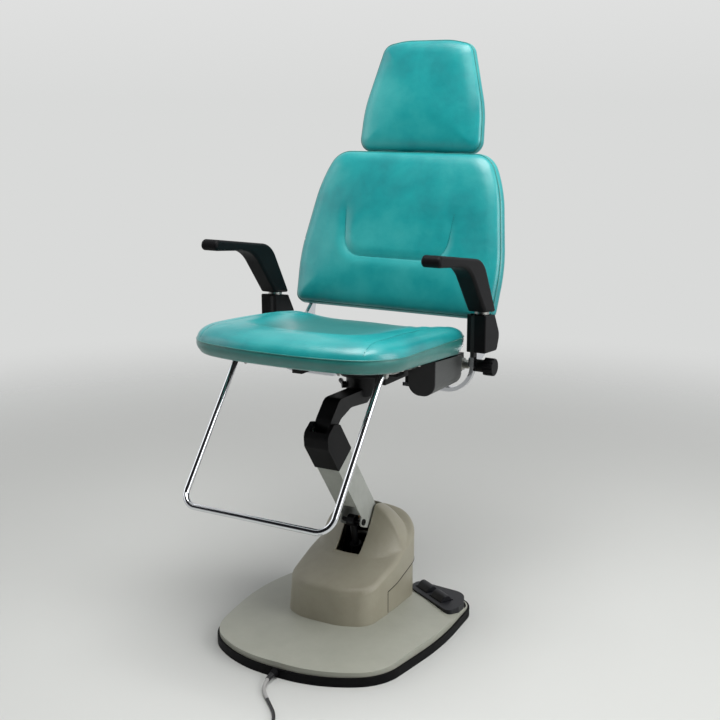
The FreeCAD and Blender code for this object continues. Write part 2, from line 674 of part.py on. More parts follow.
def actuator_ram():
    base, d = along_ram(RAM_BOTTOM)
    length = math.dist(RAM_PIN, RAM_FOOT) - RAM_BOTTOM - PIN_R - OPEN_CLEAR
    rod = Part.makeCylinder(RAM_ROD_R, length, base, d)
    eye = cross_pin(RAM_PIN, PIN_R + OPEN_CLEAR + 5, -9, 9)
    return fuse(rod, eye).cut(cross_pin(RAM_PIN, PIN_R + OPEN_CLEAR, -FAR, FAR))


# Seat carrier

def gooseneck():
    """Cast swan neck from the knuckle up to the swivel hub."""
    half = NECK_HALF_WIDTH
    ky, kz = KNUCKLE_PIVOT
    ly, lz = LEVEL_HIGH
    top = HUB_TOP - 26
    spine = [(ky + 15, kz - 6, 10), (ky + 17, kz + 20, 30), (30, HUB_TOP - 54, 40),
             (SWIVEL_Y - 12, HUB_TOP - 60, 10), (SWIVEL_Y + 30, HUB_TOP - 39, 6), (SWIVEL_Y + 34, top, 4),
             (-20, top + 1, 26), (ky - 13, kz + 28, 16),
             (ky - 15, kz - 4, 10)]
    neck = side_slab(spine, -half, half)
    heel = lever(KNUCKLE_PIVOT, 15, LEVEL_HIGH, 8.5, -half, half)
    slot = lever(LEVEL_HIGH, 13, (ly + 10, lz - 20), 14, LEVEL_X - 6, FAR)
    hub = post(0, SWIVEL_Y, HUB_R, HUB_TOP - HUB_HEIGHT, HUB_TOP)
    hub = rounded(hub, 4.0, lambda e: e.CenterOfMass.z < HUB_TOP - HUB_HEIGHT + 1)
    casting = fuse(neck, heel.cut(slot), hub)
    casting = casting.cut(slot)
    casting = casting.cut(post(0, SWIVEL_Y, SPINDLE_R + RUN_CLEAR, HUB_TOP - HUB_HEIGHT - 40, FAR))
    casting = casting.cut(cross_pin(KNUCKLE_PIVOT, PIN_R + 1 + RUN_CLEAR, -FAR, FAR))
    casting = casting.cut(cross_pin(LEVEL_HIGH, PIN_R, -FAR, FAR))
    return casting.cut(lock_screw(RUN_CLEAR))


LOCK_Z = HUB_TOP - 20


def lock_screw(grow):
    """Threaded shank of the swivel lock, pointing at the spindle from the front left."""
    tip = SPINDLE_R + 0.4 - grow
    direction = Vector(-math.sin(math.radians(50)), -math.cos(math.radians(50)), 0)
    return Part.makeCylinder(4 + grow, HUB_R + 6 - tip, Vector(0, SWIVEL_Y, LOCK_Z) + direction * tip,
                             direction)


def swivel_lock_lever():
    direction = Vector(-math.sin(math.radians(50)), -math.cos(math.radians(50)), 0)
    head_at = Vector(0, SWIVEL_Y, LOCK_Z) + direction * (HUB_R + 1)
    head = Part.makeCylinder(8, 10, head_at, direction)
    handle_at = head_at + direction * 5
    sideways = Vector(direction.y, -direction.x, 0)
    handle = Part.makeCone(4.2, 5.6, 42, handle_at, sideways)
    tip = Part.makeSphere(5.6, handle_at + sideways * 42)
    return fuse(lock_screw(0), head, handle, tip)


def levelling_pin_upper():
    return cross_pin(LEVEL_HIGH, PIN_R, -NECK_HALF_WIDTH, LEVEL_X + 6.5)


def thrust_washer():
    ring = post(0, SWIVEL_Y, HUB_R - 3, HUB_TOP, HUB_TOP + WASHER_THICK)
    return ring.cut(post(0, SWIVEL_Y, SPINDLE_R + 0.5, 0, FAR))


# Seat

FLANGE_LOW = HUB_TOP + WASHER_THICK + 0.3
FLANGE_TOP = FLANGE_LOW + FLANGE_THICK


def swivel_spindle():
    flange = post(0, SWIVEL_Y, FLANGE_R, FLANGE_LOW, FLANGE_TOP)
    flange = rounded(flange, 2.0, lambda e: e.CenterOfMass.z < FLANGE_LOW + 1)
    return fuse(flange, post(0, SWIVEL_Y, SPINDLE_R, HUB_TOP - HUB_HEIGHT + 2, FLANGE_TOP))


def seat_frame():
    """Welded frame: middle plate on the flange, two rails and two cross bars up to the pan."""
    plate = block((-120, 120), (SWIVEL_Y - 62, SWIVEL_Y + 58), (FLANGE_TOP, FLANGE_TOP + 8))
    rails = [block((x, x + 26), (4, 172), (FLANGE_TOP, FAR / 2)) for x in (-120, 94)]
    bars = [block((-150, 150), (y, y + 30), (FLANGE_TOP + 22, FAR / 2)) for y in (4, 132)]
    frame = fuse(plate, *rails, *bars).cut(above_pan())
    hollow = [block((x, x + 20), (7, 169), (FLANGE_TOP + 3, FLANGE_TOP + 20)) for x in (-117, 97)]
    return frame.cut(Part.makeCompound(hollow))


SEAT_CORNERS = mirrored(SEAT_OUTLINE)


def seat_pan():
    board = prism(inset(SEAT_CORNERS, PAN_SET_IN), -SEAT_BOXING - PAN_THICK, -SEAT_BOXING)
    return on_seat(board)


def tilted(wire, angle):
    """Wire turned about X, to make a pad thinner towards its rear."""
    turned = wire.copy()
    turned.rotate(Vector(0, 0, turned.BoundBox.Center.z), X_AXIS, angle)
    return turned


def seat_cushion():
    """Crowned pad drawn down over the pan: boxing, seam line, rolled edge, dish between bolsters."""
    low = loop(inset(SEAT_CORNERS, 12), -SEAT_BOXING - PAN_THICK)
    belly = loop(inset(SEAT_CORNERS, 2), -SEAT_BOXING * 0.45)
    seam = loop(SEAT_CORNERS, 0)
    roll = tilted(loop(inset(SEAT_CORNERS, 5), SEAT_CROWN * 0.45), -0.8)
    shoulder = tilted(loop(inset(SEAT_CORNERS, 17), SEAT_CROWN * 0.78), -1.6)
    crown = tilted(loop(inset(SEAT_CORNERS, 38), SEAT_CROWN - 3), -2.2)
    pad = loft([low, belly, seam]).fuse(loft([seam, roll, shoulder, crown]))
    dish_r = SEAT_DISH_R ** 2 / (2 * SEAT_DISH)
    dish = Part.makeSphere(dish_r, Vector(0, 24, SEAT_CROWN - 3 - SEAT_DISH + dish_r))
    recess = prism(inset(SEAT_CORNERS, PAN_SET_IN - 0.1), -FAR, -SEAT_BOXING)
    return on_seat(pad.removeSplitter().cut(dish).cut(recess))


# Footrest

def footrest_points():
    run_z = -SEAT_BOXING - PAN_THICK - FOOT_TUBE_R - 0.3
    c, s = math.cos(math.radians(SEAT_TILT)), math.sin(math.radians(SEAT_TILT))

    def under_pan(x, y):
        return Vector(x, y * c + run_z * s, SEAT_HEIGHT - y * s + run_z * c)

    right = [under_pan(FOOT_HALF_SPAN, FOOT_TAIL_Y), under_pan(FOOT_HALF_SPAN, FOOT_KNEE_Y),
             Vector(FOOT_HALF_SPAN, *FOOT_BAR)]
    return right + [Vector(-p.x, p.y, p.z) for p in reversed(right)]


def footrest_loop():
    points = footrest_points()
    solid, _ = tube(points, [FOOT_BEND] * (len(points) - 2), FOOT_TUBE_R)
    return solid


CLAMP_HALF = 24.0
CLAMP_LONG = 22.0


def footrest_clamps():
    """Saddle straps over the tube ends, screwed up into the pan."""
    top = -SEAT_BOXING - PAN_THICK
    axis_z = top - FOOT_TUBE_R - 0.3
    straps = []
    for y in CLAMP_YS:
        ears = block((-CLAMP_HALF, CLAMP_HALF), (y, y + CLAMP_LONG), (top - 3, top))
        hump = Part.makeCylinder(FOOT_TUBE_R + 2.7, CLAMP_LONG, Vector(0, y, axis_z), Y_AXIS)
        bore = Part.makeCylinder(FOOT_TUBE_R, CLAMP_LONG, Vector(0, y, axis_z), Y_AXIS)
        mouth = block((-FOOT_TUBE_R, FOOT_TUBE_R), (y, y + CLAMP_LONG), (axis_z, top))
        strap = fuse(ears, hump).cut(bore).cut(mouth).cut(block((-99, 99), (-FAR, FAR), (top, FAR)))
        straps += [strap.translated(Vector(x, 0, 0)) for x in (-FOOT_HALF_SPAN, FOOT_HALF_SPAN)]
    return on_seat(Part.makeCompound(straps))


def hexagon(x, y, z, across, height):
    corners = [(x + across * math.cos(a), y + across * math.sin(a), 0.4)
               for a in (math.radians(60 * i) for i in range(6))]
    return prism(corners, z, z + height)


def clamp_bolts():
    face = -SEAT_BOXING - PAN_THICK - 3
    heads = []
    for y in CLAMP_YS:
        for side in (-FOOT_HALF_SPAN, FOOT_HALF_SPAN):
            for reach in (-CLAMP_HALF + 7, CLAMP_HALF - 7):
                heads.append(hexagon(side + reach, y + CLAMP_LONG / 2, face - 6, 5.5, 6))
    return on_seat(Part.makeCompound(heads))


# Arms

def arm_split_axis():
    lean = math.radians(ARM_SLOPE)
    return Vector(0, math.sin(lean), math.cos(lean))


def split_point(along, up):
    """(Y, Z) from the middle of the arm joint face, along the face and square to it."""
    lean = math.radians(ARM_SLOPE)
    return (SPLIT[0] + along * math.cos(lean) + up * math.sin(lean),
            SPLIT[1] - along * math.sin(lean) + up * math.cos(lean))


def armrest():
    """Left upper arm: padded bar, elbow and tapered leg, in one moulding."""
    low_x = ARM_X - ARMREST_WIDTH / 2
    front, rear = split_point(-30, 0), split_point(30, 0)
    top = SPLIT[1] + 121
    profile = [(-97, top + 8, 11), (-92, top + 33, 13), (126, top, 66), (*rear, 3), (*front, 3),
               (50, top - 7, 95)]
    body = side_slab(profile, low_x, low_x + ARMREST_WIDTH)
    faces = (low_x, low_x + ARMREST_WIDTH)
    body = rounded(body, 7.0, lambda e: any(abs(e.BoundBox.XMin - x) + abs(e.BoundBox.XMax - x) < 1e-3
                                            for x in faces) and e.CenterOfMass.z > SPLIT[1] + 12)
    socket = Part.makeCylinder(ARM_SPINDLE_R, 34, Vector(ARM_X, *SPLIT), arm_split_axis())
    return body.cut(socket)


def arm_spindle():
    start = split_point(0, -SPINDLE_DEEP)
    axis = arm_split_axis()
    shank = Part.makeCylinder(ARM_SPINDLE_R, SPINDLE_DEEP + 33, Vector(ARM_X, *start), axis)
    collar_at = split_point(0, -SPLIT_GAP + 0.3)
    collar = Part.makeCylinder(16, SPLIT_GAP - 0.3, Vector(ARM_X, *collar_at), axis)
    return fuse(shank, collar)


def arm_post():
    """Left lower arm: moulded sleeve that clips over the chromed bar."""
    low_x = ARM_X - ARMREST_WIDTH / 2
    front, rear = split_point(-29, -SPLIT_GAP), split_point(24, -SPLIT_GAP)
    low = SPLIT[1] - 88
    profile = [(JBAR_FRONT, low, 3), (*front, 3), (*rear, 4), (220, low + 31, 26), (206, low - 4, 9)]
    body = side_slab(profile, low_x, low_x + ARMREST_WIDTH)
    body = rounded(body, 3.0, lambda e: e.BoundBox.XLength < 1e-3 and e.CenterOfMass.x > ARM_X)
    bottom = Vector(ARM_X, *split_point(0, -SPINDLE_DEEP - 2))
    socket = Part.makeCylinder(ARM_SPINDLE_R + RUN_CLEAR, 90, bottom, arm_split_axis())
    half = JBAR_THICK / 2
    groove = block((JBAR_X - half, JBAR_X + half), (0, JBAR_FRONT + JBAR_WIDE), (0, FAR))
    return body.cut(socket).cut(groove)


def arm_bar():
    """Left chromed flat bar: up inside the arm post, round under the lock box, in to the frame."""
    top = split_point(-20, -SPLIT_GAP - 2)[1]
    half = JBAR_THICK / 2
    outer = [(JBAR_X + half, top, 0.5), (JBAR_X - half, top, 0.5),
             (JBAR_X - half, JBAR_LOW + half, JBAR_BEND - half),
             (JBAR_INNER_X, JBAR_LOW + half, 0.5), (JBAR_INNER_X, JBAR_LOW - half, 0.5),
             (JBAR_X + half, JBAR_LOW - half, JBAR_BEND + half)]
    flat = Part.Face(loop(outer)).extrude(Vector(0, 0, -JBAR_WIDE))
    flat.Placement = Placement(Vector(0, JBAR_FRONT, 0), Rotation(X_AXIS, 90))
    return flat


def arm_bar_brackets():
    """Posts that hang the two arm bars from the frame rails."""
    top = JBAR_LOW + JBAR_THICK / 2
    riser = block((98, 116), (JBAR_FRONT + 1, JBAR_FRONT + JBAR_WIDE - 1), (top, FLANGE_TOP))
    gusset = block((94, 120), (JBAR_FRONT - 4, JBAR_FRONT + JBAR_WIDE + 4), (FLANGE_TOP - 6, FLANGE_TOP))
    return both_sides(fuse(riser, gusset))


# Recline hinge and backrest

def recline_brackets():
    """Bearing plates under the pan that carry the recline shaft."""
    front = BOX_Y[1] + 2
    x0, x1 = BACK_BAR_X - 36, BACK_BAR_X - 27
    plate = side_slab([(front, SEAT_HEIGHT, 1), (front + 3, HINGE[1] - 20, 14),
                       (HINGE[0] + 20, HINGE[1] - 20, 17), (HINGE[0] + 12, SEAT_HEIGHT, 1)], x0, x1)
    flange = block((x0 - 28, x1), (front, HINGE[0] + 4), (HINGE[1] + 19, SEAT_HEIGHT))
    bracket = fuse(plate, flange).cut(above_pan())
    return both_sides(bracket.cut(cross_pin(HINGE, HINGE_R + RUN_CLEAR, 0, FAR)))


STUD_R = 6.0


def recline_shaft():
    reach = BACK_BAR_X - BACK_BAR_THICK / 2
    shaft = cross_pin(HINGE, HINGE_R, -reach, reach)
    inner = BACK_BAR_X - 26.6
    collars = [cross_pin(HINGE, HINGE_R + 4, x, x + 8) for x in (inner, -inner - 8)]
    return fuse(shaft, *collars).cut(cross_pin(HINGE, STUD_R + RUN_CLEAR, reach - 24, FAR))


def back_point(v, w):
    """(Y, Z) from the backrest datum, up the lean and out of its front face."""
    lean = math.radians(BACK_LEAN)
    return (BACK_ORIGIN[0] + v * math.sin(lean) - w * math.cos(lean),
            BACK_ORIGIN[1] + v * math.cos(lean) + w * math.sin(lean))


PANEL_BACK = -BACK_DEPTH - PANEL_THICK


def back_bar():
    """Left chromed bar from the recline shaft up the rear of the backrest."""
    half = BACK_BAR_WIDE / 2
    w_front, w_rear = PANEL_BACK, PANEL_BACK - 12
    foot = back_point(-214, w_rear + 6)
    outline = [(HINGE[0] - 6, HINGE[1] + half + 3, 8), (foot[0] - 34, foot[1] - 2, 30),
               (*back_point(-186, w_front), 30), (*back_point(-10, w_front), 2),
               (*back_point(-10, w_rear), 2), (*back_point(-198, w_rear), 40),
               (foot[0] + 2, foot[1] - 34, 40), (HINGE[0] + 10, HINGE[1] - half, 8),
               (HINGE[0] - half, HINGE[1] - 6, 8)]
    x0 = BACK_BAR_X - BACK_BAR_THICK / 2
    bar = side_slab(outline, x0, x0 + BACK_BAR_THICK)
    return bar.cut(cross_pin(HINGE, STUD_R + RUN_CLEAR, 0, FAR))


def back_outline(distance):
    return inset(mirrored(BACK_OUTLINE), distance)


def back_panel():
    board = bevelled_board(back_outline(PANEL_SET_IN), PANEL_BACK, -BACK_DEPTH)
    return leaning(board, BACK_ORIGIN, BACK_LEAN)


def channel_path():
    """Sewn channel round the lower back pocket, on the flat of the pad."""
    half = [(120, 96), (168, -6), (118, -70)]
    z = BACK_CROWN
    points = [Vector(-x, y, z) for x, y in half] + [Vector(x, y, z) for x, y in reversed(half)]
    return points, [80, 46, 46, 80]


def back_cushion():
    """Crowned back pad with drawn-in sides, a seam line, and the sewn pocket channel."""
    rear = loop(back_outline(9), -BACK_DEPTH)
    belly = loop(back_outline(1.5), -BACK_DEPTH * 0.4)
    seam = loop(back_outline(0), 0)
    roll = loop(back_outline(5), BACK_CROWN * 0.5)
    shoulder = loop(back_outline(15), BACK_CROWN * 0.85)
    face = loop(back_outline(34), BACK_CROWN)
    pad = loft([rear, belly, seam]).fuse(loft([seam, roll, shoulder, face])).removeSplitter()
    points, radii = channel_path()
    groove, _ = tube(points, radii, CHANNEL_R)
    return leaning(pad.cut(groove), BACK_ORIGIN, BACK_LEAN)


def headrest_guides():
    """Two moulded sleeves on the rear of the back panel that the posts slide in."""
    low, high = 60.0, 172.0
    wall = 4.0
    clear = SLIDE_CLEAR
    half = POST_WIDE / 2 + clear
    guide = block((-half - wall, half + wall), (low, high), (PANEL_BACK - POST_THICK - 2 * clear - wall,
                                                             PANEL_BACK))
    slot = block((-half, half), (low - 9, high + 9), (PANEL_BACK - POST_THICK - 2 * clear, PANEL_BACK))
    sleeve = guide.cut(slot)
    pair = [sleeve.translated(Vector(x, 0, 0)) for x in (-POST_X, POST_X)]
    return leaning(Part.makeCompound(pair), BACK_ORIGIN, BACK_LEAN)


# Headrest

def head_outline(distance):
    return inset(mirrored(HEAD_OUTLINE), distance)


def headrest_posts():
    """Flat posts in line with the backrest, let into the underside of the headrest pad."""
    front = PANEL_BACK - SLIDE_CLEAR
    half = POST_WIDE / 2
    bar = block((-half, half), (POST_RUN[0], POST_RUN[1]), (front - POST_THICK, front))
    pair = [bar.translated(Vector(x, 0, 0)) for x in (-POST_X, POST_X)]
    return leaning(Part.makeCompound(pair), BACK_ORIGIN, BACK_LEAN)


def headrest_panel():
    board = bevelled_board(head_outline(14), -HEAD_DEPTH - PANEL_THICK, -HEAD_DEPTH)
    return leaning(board, HEAD_ORIGIN, HEAD_LEAN)


def headrest_cushion():
    rear = loop(head_outline(8), -HEAD_DEPTH)
    belly = loop(head_outline(1.5), -HEAD_DEPTH * 0.4)
    seam = loop(head_outline(0), 0)
    roll = loop(head_outline(5), HEAD_CROWN * 0.5)
    shoulder = loop(head_outline(14), HEAD_CROWN * 0.84)
    face = loop(head_outline(31), HEAD_CROWN)
    pad = loft([rear, belly, seam]).fuse(loft([seam, roll, shoulder, face])).removeSplitter()
    return leaning(pad, HEAD_ORIGIN, HEAD_LEAN).cut(headrest_posts())


# Recline lock

def recline_box():
    """Folded cover with a round bottom, hung under the pan on the sitter's left."""
    x0, x1 = BOX_X
    bottom_r = (x1 - x0) / 2 - 4
    wall = 2.5

    def section(margin, top):
        return [(x1 - margin, top, 1), (x0 + margin, top, 1), (x0 + margin, BOX_LOW_Z + margin, bottom_r),
                (x1 - margin, BOX_LOW_Z + margin, bottom_r)]

    def fold(margin, top, y0, y1):
        solid = Part.Face(loop(section(margin, top))).extrude(Vector(0, 0, y0 - y1))
        solid.Placement = Placement(Vector(0, y0, 0), Rotation(X_AXIS, 90))
        return solid

    top = SEAT_HEIGHT + 10
    shell = fold(0, top, *BOX_Y).cut(fold(wall, top + 20, BOX_Y[0] + wall, BOX_Y[1] - wall))
    return shell.cut(above_pan())


def recline_knob():
    """Ribbed clamp handle on the end of the recline axis."""
    neck = cross_pin(HINGE, KNOB_NECK_R, KNOB_FROM_X, KNOB_FROM_X + KNOB_LENGTH * 0.55)
    head = cross_pin(HINGE, KNOB_R, KNOB_FROM_X + KNOB_LENGTH * 0.5, KNOB_FROM_X + KNOB_LENGTH)
    head = rounded(head, 3.0, lambda e: abs(e.CenterOfMass.x - KNOB_FROM_X - KNOB_LENGTH) < 1e-3)
    flutes = []
    for i in range(10):
        a = math.radians(36 * i)
        at = (HINGE[0] + (KNOB_R + 1.5) * math.cos(a), HINGE[1] + (KNOB_R + 1.5) * math.sin(a))
        flutes.append(cross_pin(at, 3.6, KNOB_FROM_X + KNOB_LENGTH * 0.5, FAR))
    stud = cross_pin(HINGE, STUD_R, BACK_BAR_X - 24, KNOB_FROM_X + 1)
    return fuse(stud, neck, head.cut(Part.makeCompound(flutes)))


# Foot switch

def on_panel(shape, centre, height):
    placed = shape.copy()
    placed.Placement = Placement(Vector(centre[0], centre[1], height), Rotation(Z_AXIS, PANEL_TURN))
    return placed


SWITCH_TOP = COVER_EDGE_TOP + 11.0
PEDAL_BASE = COVER_EDGE_TOP + 3.5
PEDAL_PIN_R = 1.5
PEDAL_PIN = (-PEDAL_DEEP / 2 + 4, 4.5)   # hinge pin in the pedal's own side view


def pedal_pin(centre, reach, radius):
    """Round bar along a pedal's hinge line."""
    return on_panel(cross_pin(PEDAL_PIN, radius, -reach, reach), centre, PEDAL_BASE)


def foot_switch_panel():
    """Moulded tray in the corner of the cover, with a well for each pedal."""
    outline = [(78, 210, 8), (222, 126, 12), (238, 178, 30), (212, 240, 40), (82, 252, 12)]
    plate = prism(outline, TRIM_HEIGHT + 1, SWITCH_TOP)
    plate = plate.common(prism(inset(BASE_CORNERS, COVER_SET_IN + 4), 0, FAR))
    plate = plate.cut(cover_envelope(0)).cut(shroud_block(HOOD_OVERHANG + 1))
    for centre in PEDAL_CENTRES.values():
        long, deep = PEDAL_LONG / 2 + PEDAL_GAP, PEDAL_DEEP / 2 + PEDAL_GAP
        plate = plate.cut(on_panel(block((-long, long), (-deep, deep), (-FAR, FAR)), centre, 0))
        plate = plate.cut(pedal_pin(centre, PEDAL_LONG / 2 + PEDAL_GAP + 5, PEDAL_PIN_R))
    return max(plate.Solids, key=lambda solid: solid.Volume)


def pedal_pins():
    reach = PEDAL_LONG / 2 + PEDAL_GAP + 5
    return Part.makeCompound([pedal_pin(c, reach, PEDAL_PIN_R) for c in PEDAL_CENTRES.values()])


def pedal(centre):
    """Peaked pad, hinged along its inner edge and pressed down on its outer slope."""
    half = PEDAL_LONG / 2
    deep = PEDAL_DEEP / 2
    wedge = side_slab([(-deep, 1, 1.5), (deep, 1, 1.5), (deep, 9, 3), (2, 29, 12), (-deep, 8, 3)], -half, half)
    wedge = rounded(wedge, 3.0, lambda e: e.BoundBox.XLength < 1e-3 and e.CenterOfMass.z > 3)
    wedge = on_panel(wedge, centre, PEDAL_BASE)
    return wedge.cut(pedal_pin(centre, FAR, PEDAL_PIN_R + RUN_CLEAR))


# Mains cord

def cord_gland():
    face = SLEEVE_ROUTE[0]
    cone = Part.makeCone(9.5, 6.6, 13, Vector(*face), Vector(0, -1, 0))
    return cone.cut(cord_sleeve())


def vectors(points):
    return [Vector(*p) for p in points]


def free_tube(name, points, radius):
    points = vectors(points)
    radii = route_radii(points)
    solid, length = tube(points, radii, radius)
    print(name, "radii", [round(r, 1) for r in radii], "length", round(length, 1),
          "volume ratio", round(solid.Volume / (math.pi * radius ** 2 * length), 4))
    return solid


def cord_sleeve():
    return free_tube("cord_sleeve", SLEEVE_ROUTE, SLEEVE_R)


def mains_cord():
    return free_tube("mains_cord", CORD_ROUTE, CORD_R)


def curve_on(start, heading, end):
    """Arc that leaves a point along a heading and passes through an end point, as an edge."""
    chord = end - start
    inward = chord - heading * chord.dot(heading)
    if inward.Length < 1e-6:
        return Part.LineSegment(start, end).toShape()
    inward.normalize()
    radius = chord.Length ** 2 / (2 * chord.dot(inward))
    centre = start + inward * radius
    middle = centre + ((start + end) / 2 - centre).normalize() * radius
    return Part.Arc(start, middle, end).toShape()


def biarc(start, heading, end, end_heading):
    """Two arcs that share a tangent, from one point and heading to another."""
    chord = end - start
    both = heading + end_heading
    spread = 2 * (1 - heading.dot(end_heading))
    pull = chord.dot(both)
    reach = (-pull + math.sqrt(pull ** 2 + spread * chord.dot(chord))) / spread
    middle = (start + heading * reach + end - end_heading * reach) / 2
    return [curve_on(start, heading, middle), curve_on(end, end_heading * -1, middle)]


def coil_stations():
    """Points and headings each half turn: spiral in, climb at the middle, spiral out on top."""
    low = COIL_FLOOR + CORD_R
    step = COIL_PITCH / 2
    outer = COIL_INNER_R + COIL_TURNS * COIL_PITCH
    stations = []

    def add(turn, radius, z, drift, climb):
        a = math.pi + turn * math.pi
        out, round_ = Vector(math.cos(a), math.sin(a), 0), Vector(-math.sin(a), math.cos(a), 0)
        heading = (round_ + out * drift / (math.pi * radius) + Z_AXIS * climb / (math.pi * radius))
        stations.append((Vector(*COIL_CENTRE, z) + out * radius, heading.normalize()))

    turns = 2 * COIL_TURNS
    for i in range(turns + 1):
        add(i, outer - step * i, low, 0 if i == 0 else -step, 0)
    add(turns + 0.5, COIL_INNER_R - 2.2, low + COIL_RISE / 2, 0, COIL_RISE * 1.6)
    for i in range(turns):
        add(turns + 1 + i, COIL_INNER_R + step * i, low + COIL_RISE, step, 0)
    return stations


def coil_path():
    stations = coil_stations()
    first, last = stations[0], stations[-1]
    entry = Vector(*CORD_ROUTE[-1][:2], first[0].z)
    edges = [Part.LineSegment(entry, first[0]).toShape()]
    for (p, t), (q, u) in zip(stations, stations[1:]):
        edges += biarc(p, t, q, u)
    edges.append(Part.LineSegment(last[0], last[0] + last[1] * LEAD_OUT).toShape())
    return Part.Wire(Part.__sortEdges__(edges)), last


def self_gap(path, diameter):
    """Least distance between the surfaces of turns that pass each other."""
    points = path.discretize(Distance=2.5)
    skip = int(diameter * 4 / 2.5)
    least = min((a - b).Length for i, a in enumerate(points) for b in points[i + skip:])
    return least - diameter


def cord_coil():
    path, _ = coil_path()
    start = Vector(*CORD_ROUTE[-1][:2], COIL_FLOOR + CORD_R)
    section = Part.Wire(Part.makeCircle(CORD_R, start, Vector(0, -1, 0)))
    solid = path.makePipeShell([section], True, False)
    print("cord_coil self gap", round(self_gap(path, 2 * CORD_R), 2), "length", round(path.Length),
          "volume ratio", round(solid.Volume / (math.pi * CORD_R ** 2 * path.Length), 4))
    return solid


def cord_tie():
    """Flat band round both layers of the coil."""
    top = COIL_FLOOR + 2 * CORD_R + COIL_RISE
    inner = COIL_INNER_R - CORD_R - 2.4
    outer = COIL_INNER_R + COIL_TURNS * COIL_PITCH + CORD_R
    hole = [(inner - 1, COIL_FLOOR, 3), (outer, COIL_FLOOR, 3), (outer, top, 3), (inner - 1, top, 3)]
    band = prism(inset(hole, -TIE_THICK), 0, 9).cut(prism(hole, -1, 10))
    turn = Rotation(Z_AXIS, 60) * Rotation(X_AXIS, 90)
    band.Placement = Placement(Vector(*COIL_CENTRE, 0), turn)
    return band


def mains_plug():
    """Round moulded plug with two pins, lying past the end of the coil."""
    _, (end, heading) = coil_path()
    face = end + heading * LEAD_OUT
    neck = Part.makeCone(CORD_R + 1.6, PLUG_R - 3, 12, face, heading)
    body = Part.makeCone(PLUG_R - 1, PLUG_R, PLUG_LONG - 12, face + heading * 12, heading)
    nose = face + heading * PLUG_LONG
    across = Vector(-heading.y, heading.x, 0)
    pins = [Part.makeCylinder(2.4, 19, nose + across * x, heading) for x in (-6, 6)]
    return fuse(neck, body, *pins)


NODES = {
    "base_edge_trim": base_edge_trim, "base_plate": base_plate, "base_cover": base_cover,
    "shroud_skirt": shroud_skirt, "shroud_hood": shroud_hood, "pivot_bracket": pivot_bracket,
    "main_pivot_shaft": main_pivot_shaft, "linkage_pins": linkage_pins,
    "actuator_foot_bracket": actuator_foot_bracket,
    "foot_switch_panel": foot_switch_panel, "lift_arm": lift_arm, "arm_bushes": arm_bushes,
    "knuckle_pin": knuckle_pin, "ram_pin": ram_pin, "knuckle_cap": knuckle_cap,
    "levelling_rod": levelling_rod, "actuator_tube": actuator_tube, "actuator_motor": actuator_motor,
    "actuator_ram": actuator_ram, "gooseneck": gooseneck, "levelling_pin_upper": levelling_pin_upper,
    "thrust_washer": thrust_washer, "swivel_lock_lever": swivel_lock_lever,
    "swivel_spindle": swivel_spindle, "seat_frame": seat_frame, "seat_pan": seat_pan,
    "seat_cushion": seat_cushion, "footrest_loop": footrest_loop, "footrest_clamps": footrest_clamps,
    "clamp_bolts": clamp_bolts, "arm_bar_brackets": arm_bar_brackets,
    "recline_brackets": recline_brackets, "recline_box": recline_box, "recline_knob": recline_knob,
    "recline_shaft": recline_shaft, "back_panel": back_panel, "back_cushion": back_cushion,
    "headrest_guides": headrest_guides, "headrest_posts": headrest_posts,
    "headrest_panel": headrest_panel, "headrest_cushion": headrest_cushion, "cord_gland": cord_gland,
    "pedal_pins": pedal_pins, "cord_sleeve": cord_sleeve, "mains_cord": mains_cord,
    "cord_coil": cord_coil, "cord_tie": cord_tie, "mains_plug": mains_plug,
}

PAIRED = {"armrest": armrest, "arm_spindle": arm_spindle, "arm_post": arm_post, "arm_bar": arm_bar,
          "back_bar": back_bar}


def main():
    os.makedirs("parts", exist_ok=True)
    shapes = {name: make() for name, make in NODES.items()}
    for name, make in PAIRED.items():
        left = make()
        shapes[name + "_left"] = left
        shapes[name + "_right"] = left.mirror(ORIGIN, X_AXIS)
    for name, centre in PEDAL_CENTRES.items():
        shapes[name] = pedal(centre)
    for name, shape in shapes.items():
        print(name, "valid" if shape.isValid() else "NOT VALID", len(shape.Solids), round(shape.Volume))
        shape.exportStep("parts/" + name + ".step")


main()
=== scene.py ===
"""Looks of the powered treatment chair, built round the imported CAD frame.

Metres, +Z up, the chair faces -Y and +X is the sitter's left, as in the frame.
New pieces are numpy surfaces, of which the cushions are swollen by cloth simulation. The lead is a curve.
"""
import math

import bpy
import numpy as np
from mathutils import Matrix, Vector
from mathutils.bvhtree import BVHTree


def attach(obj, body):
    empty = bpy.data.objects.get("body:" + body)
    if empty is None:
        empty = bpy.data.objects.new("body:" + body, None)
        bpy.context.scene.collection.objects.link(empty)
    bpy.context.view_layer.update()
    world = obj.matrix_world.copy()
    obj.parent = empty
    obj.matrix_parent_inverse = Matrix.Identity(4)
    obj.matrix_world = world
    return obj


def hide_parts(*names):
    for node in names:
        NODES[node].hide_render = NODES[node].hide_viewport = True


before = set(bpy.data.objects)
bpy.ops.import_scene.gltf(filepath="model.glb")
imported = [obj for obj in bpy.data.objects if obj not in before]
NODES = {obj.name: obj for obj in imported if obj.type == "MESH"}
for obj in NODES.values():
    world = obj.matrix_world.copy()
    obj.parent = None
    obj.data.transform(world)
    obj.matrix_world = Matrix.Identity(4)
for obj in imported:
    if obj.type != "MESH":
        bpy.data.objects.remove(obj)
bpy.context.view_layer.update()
MM = 0.001

# Camera, from the pinhole fitted to the photograph
CAMERA_PLACE = (1.27725, -2.147, 1.20408)
CAMERA_AZIMUTH = 29.568
CAMERA_PITCH = 12.677
CAMERA_LENS = 58.0

